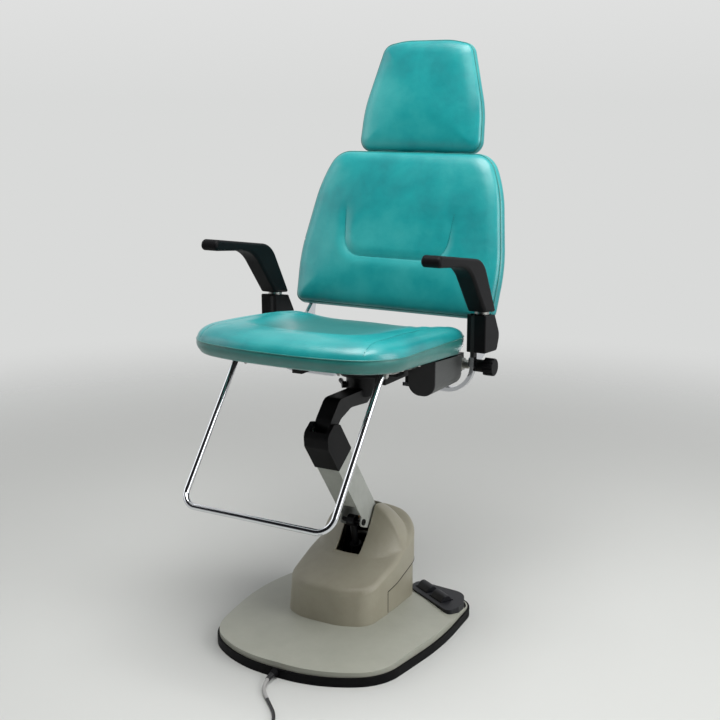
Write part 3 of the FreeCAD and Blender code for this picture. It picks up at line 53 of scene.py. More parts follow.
# Upholstery, in millimetres: places, leans and outlines of the pads as (x, y, corner radius)
SEAT_ORIGIN = (0.0, 0.0, 690.0)
SEAT_TILT = 4.0
SEAT_OUTLINE = [(84, -270, 500), (250, -230, 118), (238, 190, 58)]
SEAT_RISE = 13.0          # by which the seam climbs from the front to the rear
SEAT_CROWN = 34.0
SEAT_ROLL_SIDE = 42.0     # width of the rolled edge along the sides
SEAT_ROLL_FRONT = 76.0
SEAT_HOLLOW = 15.0        # depth that a sitter leaves
SEAT_HOLLOW_ROLL = 60.0
SEAT_SEAM = [(199, -330), (195, -190), (186, 240)]   # sewn line along each side bolster
SEAT_SEAM_R = 60.0
BACK_ORIGIN = (0.0, 301.0, 900.0)
BACK_LEAN = 17.0
BACK_OUTLINE = [(260, -189, 19), (267, -70, 420), (238, 112, 330), (201, 187, 56)]
BACK_CROWN = 20.0
BACK_ROLL = 60.0
BACK_CHANNEL = [(-146, 62), (-133, -71), (133, -71), (146, 62)]
BACK_CHANNEL_R = 50.0
HEAD_ORIGIN = (0.0, 415.0, 1211.0)
HEAD_LEAN = 11.0
HEAD_OUTLINE = [(162, -134, 30), (157, -30, 300), (115, 121, 30), (62, 132, 200)]
HEAD_CROWN = 17.0
HEAD_ROLL = 58.0
# Boxing: depth, pull inwards and belly. Under: depth and set-in of the rear panel. Swell: cap of the cloth.
SEAT_BOXING = (22.5, 7.0, 2.0)
SEAT_UNDER = (32.4, 48.0)
SEAT_SWELL = 6.0
BACK_BOXING = (27.0, 2.0, 5.0)
BACK_UNDER = (30.0, 6.0)
BACK_SWELL = 6.0
HEAD_BOXING = (23.0, 3.0, 3.0)
HEAD_UNDER = (26.0, 7.0)
HEAD_SWELL = 5.0
OUTLINE_ARC_POINTS = 60   # on each rounded corner of a pad's outline
PATH_ARC_POINTS = 40      # on each rounded corner of an open line
PANEL_RINGS = 44          # quads from the middle of a panel to its seam
RING_CROWD = 1.35         # above 1, rings close up towards the seam
BOXING_ROWS = 8
UNDER_ROWS = 5
FREE_FROM = 40.0          # way in from the seam at which the cover is wholly free to swell
SWELL_FRAMES = 20
WELT_R = 1.4
FACE_FROM = 1.0           # height above the seam's plane from which a point belongs to the face
SEW_FADE = 90.0           # stretch over which a pressed line runs out at each end
CUT_WIDTH = 2.2
STITCH_FROM = 24.0        # bare stretch at each end of a sewn line
STITCH_STEP = 5.0
STITCH_LONG = 3.8
STITCH_R = 0.55
STITCH_POINTS = 5
STITCH_PROUD = 0.35
STITCH_DROP = 90.0        # height above the seam's plane from which stitches are dropped on the cover

# Underside of the seat, in millimetres
PAN_SCREWS = [(80, -155), (114, -182), (206, -150)]
SCREW_SIDES = 24
FOOT_PATH = [(180, 24, -39.7), (180, -118, -39.7)]   # below the seat, from the tail to the knee
FOOT_BAR = (180.0, -333.0, 379.0)
FOOT_BEND = 34.0
FOOT_TUBE_R = 7.0
FOOT_POINTS = 420

# Tubes: way that no path follows, and the share of the radius at which an open end closes
TUBE_UP = (0.13, 0.29, 0.95)
TUBE_END = 0.002

# Split between skirt and hood, as in the CAD: front edge, height there and rise to the rear
SPLIT_FRONT = 32.0
SPLIT_TOP = 106.0
SPLIT_SLOPE = 0.16
SPLIT_GAP = 1.5
SPLIT_FOOT = 40.0         # height at which the search for the hood's edge starts, inside the base cover
SPLIT_MIDDLE = (0.0, 95.0)   # point in plan that the rays to the hood aim at
SPLIT_REACH = 130.0       # from there to the rear wall, a little more than it is
RAY_START = 300.0         # from the middle to where rays start, clear of the hood
RAY_CLEAR = 2.0           # from the split to the rays above and below it
LEVEL_FROM = 3.0          # from the front edge to the start of the level run
UPRIGHT_POINTS = 14
LEVEL_POINTS = 60
LEVEL_ROUNDS = 4          # in which the height of a ray and the place that it meets settle
# dark bead sunk in the split: painted shade of the gap
BEAD_R = 1.1
BEAD_SUNK = 0.3           # from the hood's face to the middle of the bead

# Heights and depths in metres where a finish changes on one node
ARM_SLEEVE_FROM = 0.650
RECLINE_CAP_Y = 0.034

# Mains lead, as in the CAD: free route, then two flat layers of turns
LEAD_R = 3.5
SLEEVE_R = 4.2
LEAD_ROUTE = [(0, -264, 11), (0, -281, 10.6), (3, -302, 8.3), (11, -323, 5.4), (26, -341, 4.6),
              (43, -356.5, 4.5), (61, -372.9, 4.4), (82, -392.5, 4.4), (99, -416, 4.6), (109, -443, 4.9),
              (112, -471, 5.1), (112, -497, 5.1)]
SLEEVE_SHARE = 0.036      # part of the lead that runs in the pale sleeve
RELIEF_RUN = (10.0, 34.0)   # stretch of the lead in the tapered strain relief, from its start
RELIEF_R = (6.4, 4.6)
RELIEF_RIB = 0.5
COIL_CENTRE = (177.0, -505.0)
COIL_TURNS = 5
COIL_INNER_R = 27.0
COIL_PITCH = 7.6
COIL_LOW = 5.1
COIL_RISE = 8.2
COIL_TUCK = 2.2           # by which the climb is drawn in
COIL_STEPS = 16           # points in a turn
LEAD_OUT = 58.0           # straight end of the lead, to the plug

# Studio, in metres: each lamp's name, place, size and watts
STUDIO_LAMPS = [("over", (0.4, -0.4, 2.9), 1.7, 72), ("right", (3.0, 0.3, 1.9), 1.8, 45),
                ("left", (-3.0, -1.2, 2.2), 2.0, 14)]
LAMP_AIM = (0.0, 0.1, 0.6)
ROOM_STRENGTH = 0.56
DARK_SIDE = (0.0, -0.82, 0.57)   # way to the dark side of the room
FLOOR_FADE = (1.2, 3.6)   # from the chair, over which the floor runs out into the pale background
FLOOR_RINGS = 12
FLOOR_SIDES = 64


# Colours and nodes

def linear(code):
    """Linear RGBA of an sRGB hex colour, by the sRGB transfer curve."""
    values = [int(code[i:i + 2], 16) / 255 for i in (1, 3, 5)]
    return tuple(v / 12.92 if v <= 0.04045 else ((v + 0.055) / 1.055) ** 2.4 for v in values) + (1.0,)


def node(tree, kind, sockets=None, stops=(), **settings):
    """Add a shader node with its settings and links.

    Sockets are input values or the outputs that feed them, settings are the node's properties, and stops
    are the (position, hex colour) points of a node that has a colour ramp.
    """
    made = tree.nodes.new("ShaderNode" + kind)
    for name, value in settings.items():
        setattr(made, name, value)
    for i, (position, code) in enumerate(stops):
        points = made.color_ramp.elements
        point = points[i] if i < len(points) else points.new(position)
        point.position = position
        point.color = linear(code)
    for name, value in (sockets or {}).items():
        if isinstance(value, bpy.types.NodeSocket):
            tree.links.new(value, made.inputs[name])
        else:
            made.inputs[name].default_value = value
    return made


def new_material(name, **values):
    """Material with a Principled shader whose even values are set on its own sockets."""
    made = bpy.data.materials.new(name)
    made.use_nodes = True
    tree = made.node_tree
    shader = tree.nodes["Principled BSDF"]
    for socket, value in values.items():
        shader.inputs[socket.replace("_", " ")].default_value = value
    place = node(tree, "TexCoord").outputs["Object"]
    return made, tree, shader, place


def per_metre(millimetres):
    """Texture scale whose pattern repeats about once in a length."""
    return 1.0 / (millimetres * MM)


# Materials

def teal_vinyl(name, deep, mid, pale):
    """PVC leathercloth, calendered and embossed: teal and glossy, greyer and darker where a pad's hollow
    share is high.
    """
    made, tree, shader, place = new_material(name, IOR=1.53, Coat_Weight=0.35, Coat_Roughness=0.28)
    patches = node(tree, "TexNoise", {"Vector": place, "Scale": per_metre(170), "Detail": 5.0,
                                      "Roughness": 0.6})
    teal = node(tree, "ValToRGB", {"Fac": patches.outputs["Fac"]}, [(0.34, deep), (0.5, mid), (0.68, pale)])
    # greyer, darker teal mixed in by the hollow share, which the seat's pad carries across its dish
    hollow_greying = node(tree, "Attribute", attribute_name="hollow_grey")
    colour = node(tree, "MixRGB", {"Fac": hollow_greying.outputs["Fac"], "Color1": teal.outputs["Color"],
                                   "Color2": linear("#327876")})
    tree.links.new(colour.outputs["Color"], shader.inputs["Base Color"])
    smears = node(tree, "TexNoise", {"Vector": place, "Scale": per_metre(45), "Detail": 5.0,
                                     "Roughness": 0.6})
    gloss = node(tree, "MapRange", {"Value": smears.outputs["Fac"], "To Min": 0.26, "To Max": 0.46})
    tree.links.new(gloss.outputs["Result"], shader.inputs["Roughness"])
    # the leather grain of the real cloth is 0.8 mm, drawn at 2 mm so that it shows
    grain = node(tree, "TexVoronoi", {"Vector": place, "Scale": per_metre(2.0)}, feature="DISTANCE_TO_EDGE")
    creases = node(tree, "TexNoise", {"Vector": place, "Scale": per_metre(26), "Detail": 6.0,
                                      "Distortion": 0.6})
    fine = node(tree, "Bump", {"Height": grain.outputs["Distance"], "Strength": 0.10, "Distance": 0.0004})
    soft = node(tree, "Bump", {"Height": creases.outputs["Fac"], "Strength": 0.16, "Distance": 0.003,
                               "Normal": fine.outputs["Normal"]})
    tree.links.new(soft.outputs["Normal"], shader.inputs["Normal"])
    return made


def moulded(name, dark, mid, pale, rough, grit_mm, **values):
    """Injection-moulded plastic: spark-eroded grain, faint flow marks and handling smears."""
    made, tree, shader, place = new_material(name, IOR=1.5, **values)
    smear = node(tree, "TexNoise", {"Vector": place, "Scale": per_metre(60), "Detail": 6.0,
                                    "Roughness": 0.65})
    colour = node(tree, "ValToRGB", {"Fac": smear.outputs["Fac"]}, [(0.25, dark), (0.5, mid), (0.8, pale)])
    tree.links.new(colour.outputs["Color"], shader.inputs["Base Color"])
    gloss = node(tree, "MapRange", {"Value": smear.outputs["Fac"], "To Min": rough - 0.07,
                                    "To Max": rough + 0.09})
    tree.links.new(gloss.outputs["Result"], shader.inputs["Roughness"])
    grit = node(tree, "TexNoise", {"Vector": place, "Scale": per_metre(grit_mm), "Detail": 2.0})
    bump = node(tree, "Bump", {"Height": grit.outputs["Fac"], "Strength": 0.25, "Distance": 0.0002})
    tree.links.new(bump.outputs["Normal"], shader.inputs["Normal"])
    return made


def painted(name, dark, mid, pale, rough, **values):
    """Sprayed enamel on steel: orange peel of about 3 mm and fine rubbed marks."""
    made, tree, shader, place = new_material(name, IOR=1.5, Coat_Roughness=0.2, **values)
    marks = node(tree, "TexNoise", {"Vector": place, "Scale": per_metre(35), "Detail": 7.0,
                                    "Roughness": 0.7})
    colour = node(tree, "ValToRGB", {"Fac": marks.outputs["Fac"]}, [(0.3, dark), (0.5, mid), (0.75, pale)])
    tree.links.new(colour.outputs["Color"], shader.inputs["Base Color"])
    gloss = node(tree, "MapRange", {"Value": marks.outputs["Fac"], "To Min": rough - 0.08,
                                    "To Max": rough + 0.08})
    tree.links.new(gloss.outputs["Result"], shader.inputs["Roughness"])
    peel = node(tree, "TexNoise", {"Vector": place, "Scale": per_metre(3.0), "Detail": 1.0})
    bump = node(tree, "Bump", {"Height": peel.outputs["Fac"], "Strength": 0.08, "Distance": 0.0003})
    tree.links.new(bump.outputs["Normal"], shader.inputs["Normal"])
    return made


def metal(name, colour, rough, cloud_mm):
    """Bare or plated metal: one colour, with fine clouds in its gloss."""
    made, tree, shader, place = new_material(name, Metallic=1.0, Base_Color=linear(colour))
    clouds = node(tree, "TexNoise", {"Vector": place, "Scale": per_metre(cloud_mm), "Detail": 4.0})
    gloss = node(tree, "MapRange", {"Value": clouds.outputs["Fac"], "To Min": rough * 0.7,
                                    "To Max": rough * 1.4})
    tree.links.new(gloss.outputs["Result"], shader.inputs["Roughness"])
    return made


def sleeved_bar(bare_below):
    """Chromed flat bar with a black shrink sleeve: plating below a height in metres, plastic above."""
    made, tree, shader, place = new_material("chrome_with_black_sleeve")
    height = node(tree, "SeparateXYZ", {"Vector": place}).outputs["Z"]
    sleeve = node(tree, "Math", {0: height, 1: bare_below}, operation="GREATER_THAN").outputs["Value"]
    colour = node(tree, "ValToRGB", {"Fac": sleeve}, [(0.0, "#D4D6DA"), (1.0, "#0C0C0E")])
    tree.links.new(colour.outputs["Color"], shader.inputs["Base Color"])
    plated = node(tree, "MapRange", {"Value": sleeve, "To Min": 1.0, "To Max": 0.0})
    tree.links.new(plated.outputs["Result"], shader.inputs["Metallic"])
    gloss = node(tree, "MapRange", {"Value": sleeve, "To Min": 0.07, "To Max": 0.6})
    tree.links.new(gloss.outputs["Result"], shader.inputs["Roughness"])
    return made


def capped_box(face_y):
    """Brushed grey sleeve with a black nylon end cap, which reaches back to a depth in metres."""
    made, tree, shader, place = new_material("grey_sleeve_black_cap", IOR=1.5)
    depth = node(tree, "SeparateXYZ", {"Vector": place}).outputs["Y"]
    sleeve = node(tree, "Math", {0: depth, 1: face_y}, operation="GREATER_THAN").outputs["Value"]
    colour = node(tree, "ValToRGB", {"Fac": sleeve}, [(0.0, "#0B0B0D"), (1.0, "#4C4E4D")])
    tree.links.new(colour.outputs["Color"], shader.inputs["Base Color"])
    drawn = node(tree, "Mapping", {"Vector": place, "Scale": (per_metre(8), per_metre(60), per_metre(1.2))})
    lines = node(tree, "TexNoise", {"Vector": drawn.outputs["Vector"], "Scale": 1.0, "Detail": 3.0})
    gloss = node(tree, "MapRange", {"Value": lines.outputs["Fac"], "To Min": 0.38, "To Max": 0.58})
    tree.links.new(gloss.outputs["Result"], shader.inputs["Roughness"])
    return made


# Surfaces

def rounded_outline(half, count):
    """Closed outline as count points, evenly spaced along it.

    The half outline of (x, y, radius) corners is mirrored in x. Each corner is cut by its tangent arc, and
    the line of runs and arcs is resampled at equal shares of its length, from the front middle round by +x.
    """
    corners = half + [(-x, y, r) for x, y, r in reversed(half)]
    points = np.array([c[:2] for c in corners], float)
    radii = np.array([c[2] for c in corners], float)
    to_last = np.roll(points, 1, 0) - points
    to_next = np.roll(points, -1, 0) - points
    to_last /= np.linalg.norm(to_last, axis=1)[:, None]
    to_next /= np.linalg.norm(to_next, axis=1)[:, None]
    half_angle = np.arccos(np.clip((to_last * to_next).sum(1), -1, 1)) / 2
    reach = radii / np.tan(half_angle)
    start, end = points + to_last * reach[:, None], points + to_next * reach[:, None]
    bisector = to_last + to_next
    bisector /= np.linalg.norm(bisector, axis=1)[:, None]
    centre = points + bisector * (radii / np.sin(half_angle))[:, None]
    t = np.linspace(0, 1, OUTLINE_ARC_POINTS)[None, :, None]
    a, b = start - centre, end - centre
    swing = np.arccos(np.clip((a * b).sum(1) / radii ** 2, -1, 1))[:, None, None]
    arc = (np.sin((1 - t) * swing) * a[:, None] + np.sin(t * swing) * b[:, None]) / np.sin(swing)
    line = (centre[:, None] + arc).reshape(-1, 2)
    line = np.vstack([[(0.0, points[0, 1])], line, [(0.0, points[0, 1])]])
    along = np.concatenate([[0], np.cumsum(np.linalg.norm(np.diff(line, axis=0), axis=1))])
    even = np.arange(count) / count * along[-1]
    return np.stack([np.interp(even, along, line[:, i]) for i in range(2)], 1)


def panel_rings(rings):
    """Square grid of a panel, in rings about its middle.

    Ring k is the square of points at max(|i|, |j|) = k, which has 8k points. Returns each point's ring as a
    share of the last, its share of the way round and its number, and the numbers of the rim in order.
    """
    i, j = np.meshgrid(np.arange(-rings, rings + 1), np.arange(-rings, rings + 1), indexing="ij")
    k = np.maximum(np.abs(i), np.abs(j))
    # walked from the middle of the j = -k side towards +i
    walk = np.where(j == -k, i, np.where(i == k, 2 * k + j, np.where(j == k, 4 * k - i, 6 * k - j)))
    share = np.mod(walk, np.maximum(8 * k, 1)) / np.maximum(8 * k, 1)
    index = np.arange(k.size).reshape(k.shape)
    rim = index[k == rings][np.argsort(share[k == rings])]
    return k / rings, share, index, rim


def panel_quads(index):
    """Quads of a grid of vertex numbers."""
    return np.stack([index[:-1, :-1], index[1:, :-1], index[1:, 1:], index[:-1, 1:]], -1).reshape(-1, 4)


def strip_quads(low, high):
    """Quads between two closed rings of vertex numbers."""
    return np.stack([low, np.roll(low, -1), np.roll(high, -1), high], -1)


def mesh_piece(name, points, quads, material):
    """Object at the origin from points in millimetres and quads."""
    data = bpy.data.meshes.new(name)
    data.from_pydata((np.asarray(points) * MM).tolist(), [], np.asarray(quads).tolist())
    data.polygons.foreach_set("use_smooth", np.ones(len(data.polygons), bool))
    data.materials.append(material)
    data.update()
    made = bpy.data.objects.new(name, data)
    bpy.context.scene.collection.objects.link(made)
    return made


def placed(points, origin, turn):
    """Points turned about X by degrees, then moved to an origin."""
    a = math.radians(turn)
    x, y, z = np.asarray(points, float).T
    return np.stack([x, y * math.cos(a) - z * math.sin(a), y * math.sin(a) + z * math.cos(a)], 1) + origin


def swept(path, radius, sides=12, closed=True):
    """Round tube: a circle of one radius, or of a radius for each point, carried along a path.

    Its frame comes from the tangent and one fixed up direction. An open tube has its ends closed by tiny
    rings.
    """
    path = np.asarray(path, float)
    radius = np.broadcast_to(radius, len(path))[:, None, None]
    ahead = np.roll(path, -1, 0) - np.roll(path, 1, 0)
    if not closed:
        ahead[0], ahead[-1] = path[1] - path[0], path[-1] - path[-2]
    ahead /= np.linalg.norm(ahead, axis=1)[:, None]
    side = np.cross(ahead, TUBE_UP)
    side /= np.linalg.norm(side, axis=1)[:, None]
    up = np.cross(side, ahead)
    turn = np.arange(sides) / sides * 2 * math.pi
    rings = path[:, None] + radius * (np.cos(turn)[None, :, None] * side[:, None]
                                      + np.sin(turn)[None, :, None] * up[:, None])
    if not closed:
        ends = path[[0, -1], None] + (rings[[0, -1]] - path[[0, -1], None]) * TUBE_END
        rings = np.concatenate([ends[:1], rings, ends[1:]])
    index = np.arange(len(rings) * sides).reshape(len(rings), sides)
    following = np.roll(index, -1, 0) if closed else index[1:]
    here = index if closed else index[:-1]
    quads = np.stack([following, np.roll(following, -1, 1), np.roll(here, -1, 1), here], -1).reshape(-1, 4)
    return rings.reshape(-1, 3), quads


# Cushions

def way_in(spots, line):
    """Least distance from each spot to a fine closed line, by whole arrays."""
    fine = np.concatenate([line + t * (np.roll(line, -1, 0) - line) for t in (0, 0.25, 0.5, 0.75)])
    flat = spots.reshape(-1, 2)
    least = np.concatenate([np.sqrt(((part[:, None] - fine[None]) ** 2).sum(-1)).min(1)
                            for part in np.array_split(flat, 24)])
    return least.reshape(spots.shape[:-1])


def soft_step(way, width):
    """Logistic step: 0 well before, a half at, and 1 well past the place that the way is measured from."""
    return 1 / (1 + np.exp(-way / width))


def bell(way, width):
    """Bell curve: 1 at the place that the way is measured from, falling to 1/e at the width."""
    return np.exp(-(way / width) ** 2)


def roll(inward, width):
    """Rolled edge of a pad: a superellipse from 0 at the seam to 1 at a width inwards, sunk at the seam."""
    edge = (1 - (1 - np.clip(inward / width, 0, 1)) ** 2.2) ** (1 / 1.8)
    return edge - 0.06 * bell(inward, 2.5)


def sitter_hollow(x, y):
    """Share of the hollow that a sitter leaves: 1 inside it, 0 on the bolsters and the front roll."""
    return soft_step(146 + 0.1 * y - np.abs(x), 21) * soft_step(y + 160, 22)


def seat_seam(y):
    """Height of the seat's seam, which climbs evenly from the front to the rear."""
    front, rear = SEAT_OUTLINE[0][1], SEAT_OUTLINE[-1][1]
    return SEAT_RISE * np.clip((y - front) / (rear - front), 0, 1)


def seat_height(x, y, inward):
    """Front roll, fuller side bolsters and a hollow for the sitter.

    The seam, plus the crown times the rolled edge, plus a bell along the front, less the hollow. Rearwards
    the crown falls by a step and a share of the seam's rise. The edge is wider along the front.
    """
    seam = seat_seam(y)
    front = 3.0 * bell(y + 215, 60)
    rear = 5.0 * soft_step(y - 120, 22) + 0.7 * seam
    width = SEAT_ROLL_SIDE + (SEAT_ROLL_FRONT - SEAT_ROLL_SIDE) * soft_step(-150 - y, 26)
    hollow = SEAT_HOLLOW * sitter_hollow(x, y) * roll(inward, SEAT_HOLLOW_ROLL)
    return seam + (SEAT_CROWN - rear) * roll(inward, width) + front - hollow


def level_seam(y):
    """Height of a seam that runs level."""
    return 0 * y


def back_height(x, y, inward):
    """Padded rim along the top and sides, a soft valley inside it and a lumbar roll below the channel.

    The crown times the rolled edge, less a bell along a line inside the upper edge, plus a bell across the
    lower part that dies out towards the sides.
    """
    valley = 3.0 * bell(inward - 78, 30) * soft_step(y - 20, 26)
    lumbar = 4.0 * bell(y + 118, 48) * np.exp(-(x / 210) ** 4)
    return BACK_CROWN * roll(inward, BACK_ROLL) - valley + lumbar


def head_height(x, y, inward):
    """Even crown on a rolled edge, with a low bell that swells its lower half."""
    return HEAD_CROWN * roll(inward, HEAD_ROLL) + 4.0 * bell(y + 40, 80) * bell(x, 120)


def pad_points(outline, height, seam_height, boxing, under):
    """Closed pad: front panel, boxing, drawn-under edge and rear panel on one outline.

    Front: the height function of (x, y, way in from the seam), on rings that close up towards the seam.
    Boxing: rows from the seam down, moved square to the outline by a half sine of its belly, less its pull
    times the square of the way down. Under: a quarter ellipse from there to the rear panel.
    Returns the points, the quads, each point's freedom to swell, each quad's material and the seam's line.
    """
    deep, pull, belly = boxing
    last, set_in = under
    ring, share, index, rim = panel_rings(PANEL_RINGS)
    ring = 1 - (1 - ring) ** RING_CROWD
    line = rounded_outline(outline, 8 * PANEL_RINGS)
    middle = np.array([0.0, (line[:, 1].min() + line[:, 1].max()) / 2])
    along = np.roll(line, -1, 0) - np.roll(line, 1, 0)
    outward = np.column_stack([along[:, 1], -along[:, 0]]) / np.linalg.norm(along, axis=1)[:, None]
    down = np.arange(1, BOXING_ROWS + 1) / BOXING_ROWS
    turn = np.arange(1, UNDER_ROWS + 1) / UNDER_ROWS * math.pi / 2
    moved = np.concatenate([belly * np.sin(down * math.pi) - pull * down ** 2,
                            -pull - (set_in - pull) * (1 - np.cos(turn))])
    z = -np.concatenate([deep * down, deep + (last - deep) * np.sin(turn)])
    seam = seam_height(line[:, 1])
    share_up = np.concatenate([1 - down, np.zeros(len(turn))])
    sides = np.dstack([line + moved[:, None, None] * outward, z[:, None] + share_up[:, None] * seam])
    flat, low = (middle + ring[..., None] * (around(edge, share) - middle)
                 for edge in (line, sides[-1, :, :2]))
    inward = way_in(flat, line) * (ring < 1)
    front = np.dstack([flat, height(flat[..., 0], flat[..., 1], inward)]).reshape(-1, 3)
    back = np.dstack([low, np.full(ring.shape, -last)]).reshape(-1, 3)
    points = np.vstack([front, sides[:-1].reshape(-1, 3), back])
    rings = [rim] + [len(front) + r * len(line) + np.arange(len(line)) for r in range(len(z) - 1)]
    rings.append(len(points) - len(back) + rim)
    strips = np.vstack([strip_quads(b, a) for a, b in zip(rings, rings[1:])])
    faces = [panel_quads(index), strips, panel_quads(index)[:, ::-1] + len(points) - len(back)]
    free = np.zeros(len(points))
    free[:len(front)] = np.clip(inward.reshape(-1) / FREE_FROM, 0, 1)
    finish = np.concatenate([np.full(len(f), i) for i, f in enumerate(faces)])
    return points, np.vstack(faces), free, finish, np.column_stack([line, seam])


def around(line, share):
    """Points at shares of the way round a closed line."""
    spots = np.arange(len(line) + 1) / len(line)
    closed = np.vstack([line, line[:1]])
    return np.stack([np.interp(share, spots, closed[:, i]) for i in range(2)], -1)


def inflate(pads):
    """Swell the free part of each pad by cloth simulation, up to a cap, and keep the result in its mesh."""
    scene = bpy.context.scene
    for pad, free, _ in pads:
        held = pad.vertex_groups.new(name="held")
        for level in np.unique(np.round(free, 1)):
            picked = np.flatnonzero(np.round(free, 1) == level)
            held.add(picked.tolist(), float(1 - level), "REPLACE")
        cloth = pad.modifiers.new("swell", "CLOTH")
        cloth.settings.quality = 6
        cloth.settings.mass = 0.3
        cloth.settings.tension_stiffness = 15
        cloth.settings.compression_stiffness = 15
        cloth.settings.bending_stiffness = 1.5
        cloth.settings.use_pressure = True
        cloth.settings.uniform_pressure_force = 4.0
        cloth.settings.vertex_group_mass = "held"
        cloth.settings.effector_weights.gravity = 0.0
        cloth.point_cache.frame_end = SWELL_FRAMES
    for at in range(1, SWELL_FRAMES + 1):
        scene.frame_set(at)
    swollen = []
    for pad, free, cap in pads:
        before = vertex_places(pad.data)
        seen = vertex_places(pad.evaluated_get(bpy.context.evaluated_depsgraph_get()).data)
        step = seen - before
        far = np.linalg.norm(step, axis=1)[:, None]
        within = np.minimum(1, cap * MM / np.maximum(far, 1e-9))
        swollen.append(before + step * within * (free[:, None] > 0))
    for (pad, _, _), places in zip(pads, swollen):
        pad.modifiers.clear()
        pad.vertex_groups.clear()
        pad.data.vertices.foreach_set("co", places.ravel())
    scene.frame_set(1)


def vertex_places(data):
    """Places of a mesh's vertices, one row each."""
    places = np.zeros(len(data.vertices) * 3)
    data.vertices.foreach_get("co", places)
    return places.reshape(-1, 3)


def refine(pad):
    """Put one level of subdivision into the pad's own mesh."""
    pad.modifiers.new("finer", "SUBSURF").levels = 1
    finer = bpy.data.meshes.new_from_object(pad.evaluated_get(bpy.context.evaluated_depsgraph_get()))
    pad.modifiers.clear()
    pad.data = finer


def rounded_path(corners, radius, count=500):
    """Open line through corners, in a plane or in space: runs and tangent arcs, resampled evenly."""
    points = np.array(corners, float)
    runs = [points[:1]]
    for before, here, after in zip(points, points[1:], points[2:]):
        u = (before - here) / np.linalg.norm(before - here)
        v = (after - here) / np.linalg.norm(after - here)
        half = math.acos(np.clip(u @ v, -1, 1)) / 2
        centre = here + (u + v) / np.linalg.norm(u + v) * radius / math.sin(half)
        a = here + u * radius / math.tan(half) - centre
        b = here + v * radius / math.tan(half) - centre
        swing = math.pi - 2 * half
        t = np.linspace(0, 1, PATH_ARC_POINTS)[:, None]
        runs.append(centre + (np.sin((1 - t) * swing) * a + np.sin(t * swing) * b) / math.sin(swing))
    line = np.vstack(runs + [points[-1:]])
    along = np.concatenate([[0], np.cumsum(np.linalg.norm(np.diff(line, axis=0), axis=1))])
    even = np.linspace(0, along[-1], count)
    return np.stack([np.interp(even, along, line[:, i]) for i in range(line.shape[1])], 1)


def press(pad, origin, turn, line, deep, wide, cut):
    """Press a sewn line into a pad's face: a soft valley with a narrow cut along its middle.

    The depth is a wide bell and a narrow one of the distance from the line in the pad's plane. Both fade
    out towards the ends of the line.
    """
    places = vertex_places(pad.data) / MM
    local = placed(places - origin, (0, 0, 0), -turn)
    facing = np.flatnonzero(local[:, 2] > FACE_FROM)
    gaps = np.sqrt(((local[facing, None, :2] - line[None]) ** 2).sum(-1))
    nearest = gaps.argmin(1)
    least = gaps.min(1)
    length = np.linalg.norm(np.diff(line, axis=0), axis=1).sum()
    ends = np.minimum(nearest, len(line) - 1 - nearest) / (len(line) - 1) * length
    fade = np.clip(ends / SEW_FADE, 0, 1)
    local[facing, 2] -= fade * (deep * bell(least, wide) + cut * bell(least, CUT_WIDTH))
    pad.data.vertices.foreach_set("co", (placed(local, origin, turn) * MM).ravel())
    pad.data.update()


def sew(pad, body, origin, turn, line, name, thread):
    """Row of stitches on a sewn line: each a short tube that dips into the cover at both ends.

    Along a stitch its height above the cover is a half sine, and its radius a constant plus a half sine.
    """
    surface = BVHTree.FromObject(pad, bpy.context.evaluated_depsgraph_get())
    down = Vector(placed([(0, 0, -1)], (0, 0, 0), turn)[0])
    step = np.linalg.norm(np.diff(line, axis=0), axis=1).sum() / (len(line) - 1)
    starts = np.arange(STITCH_FROM, len(line) * step - STITCH_FROM, STITCH_STEP)
    t = np.linspace(0, 1, STITCH_POINTS)
    hump = np.sin(t * math.pi)
    along = np.arange(len(line)) * step
    flat = np.stack([np.interp(starts[:, None] + t * STITCH_LONG, along, line[:, i]) for i in range(2)], -1)
    tubes, quads, count = [], [], 0
    for stitch in flat:
        above = placed(np.column_stack([stitch, np.full(len(stitch), STITCH_DROP)]), origin, turn)
        hits = [surface.ray_cast(Vector(point * MM), down)[0] for point in above]
        if None in hits:
            continue
        path = np.array(hits) / MM - STITCH_PROUD * hump[:, None] * np.array(down)
        points, faces = swept(path, STITCH_R * (0.4 + 0.6 * hump), sides=6, closed=False)
        tubes.append(points)
        quads.append(faces + count)
        count += len(points)
    row = mesh_piece(name, np.vstack(tubes), np.vstack(quads), thread)
    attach(row, body)


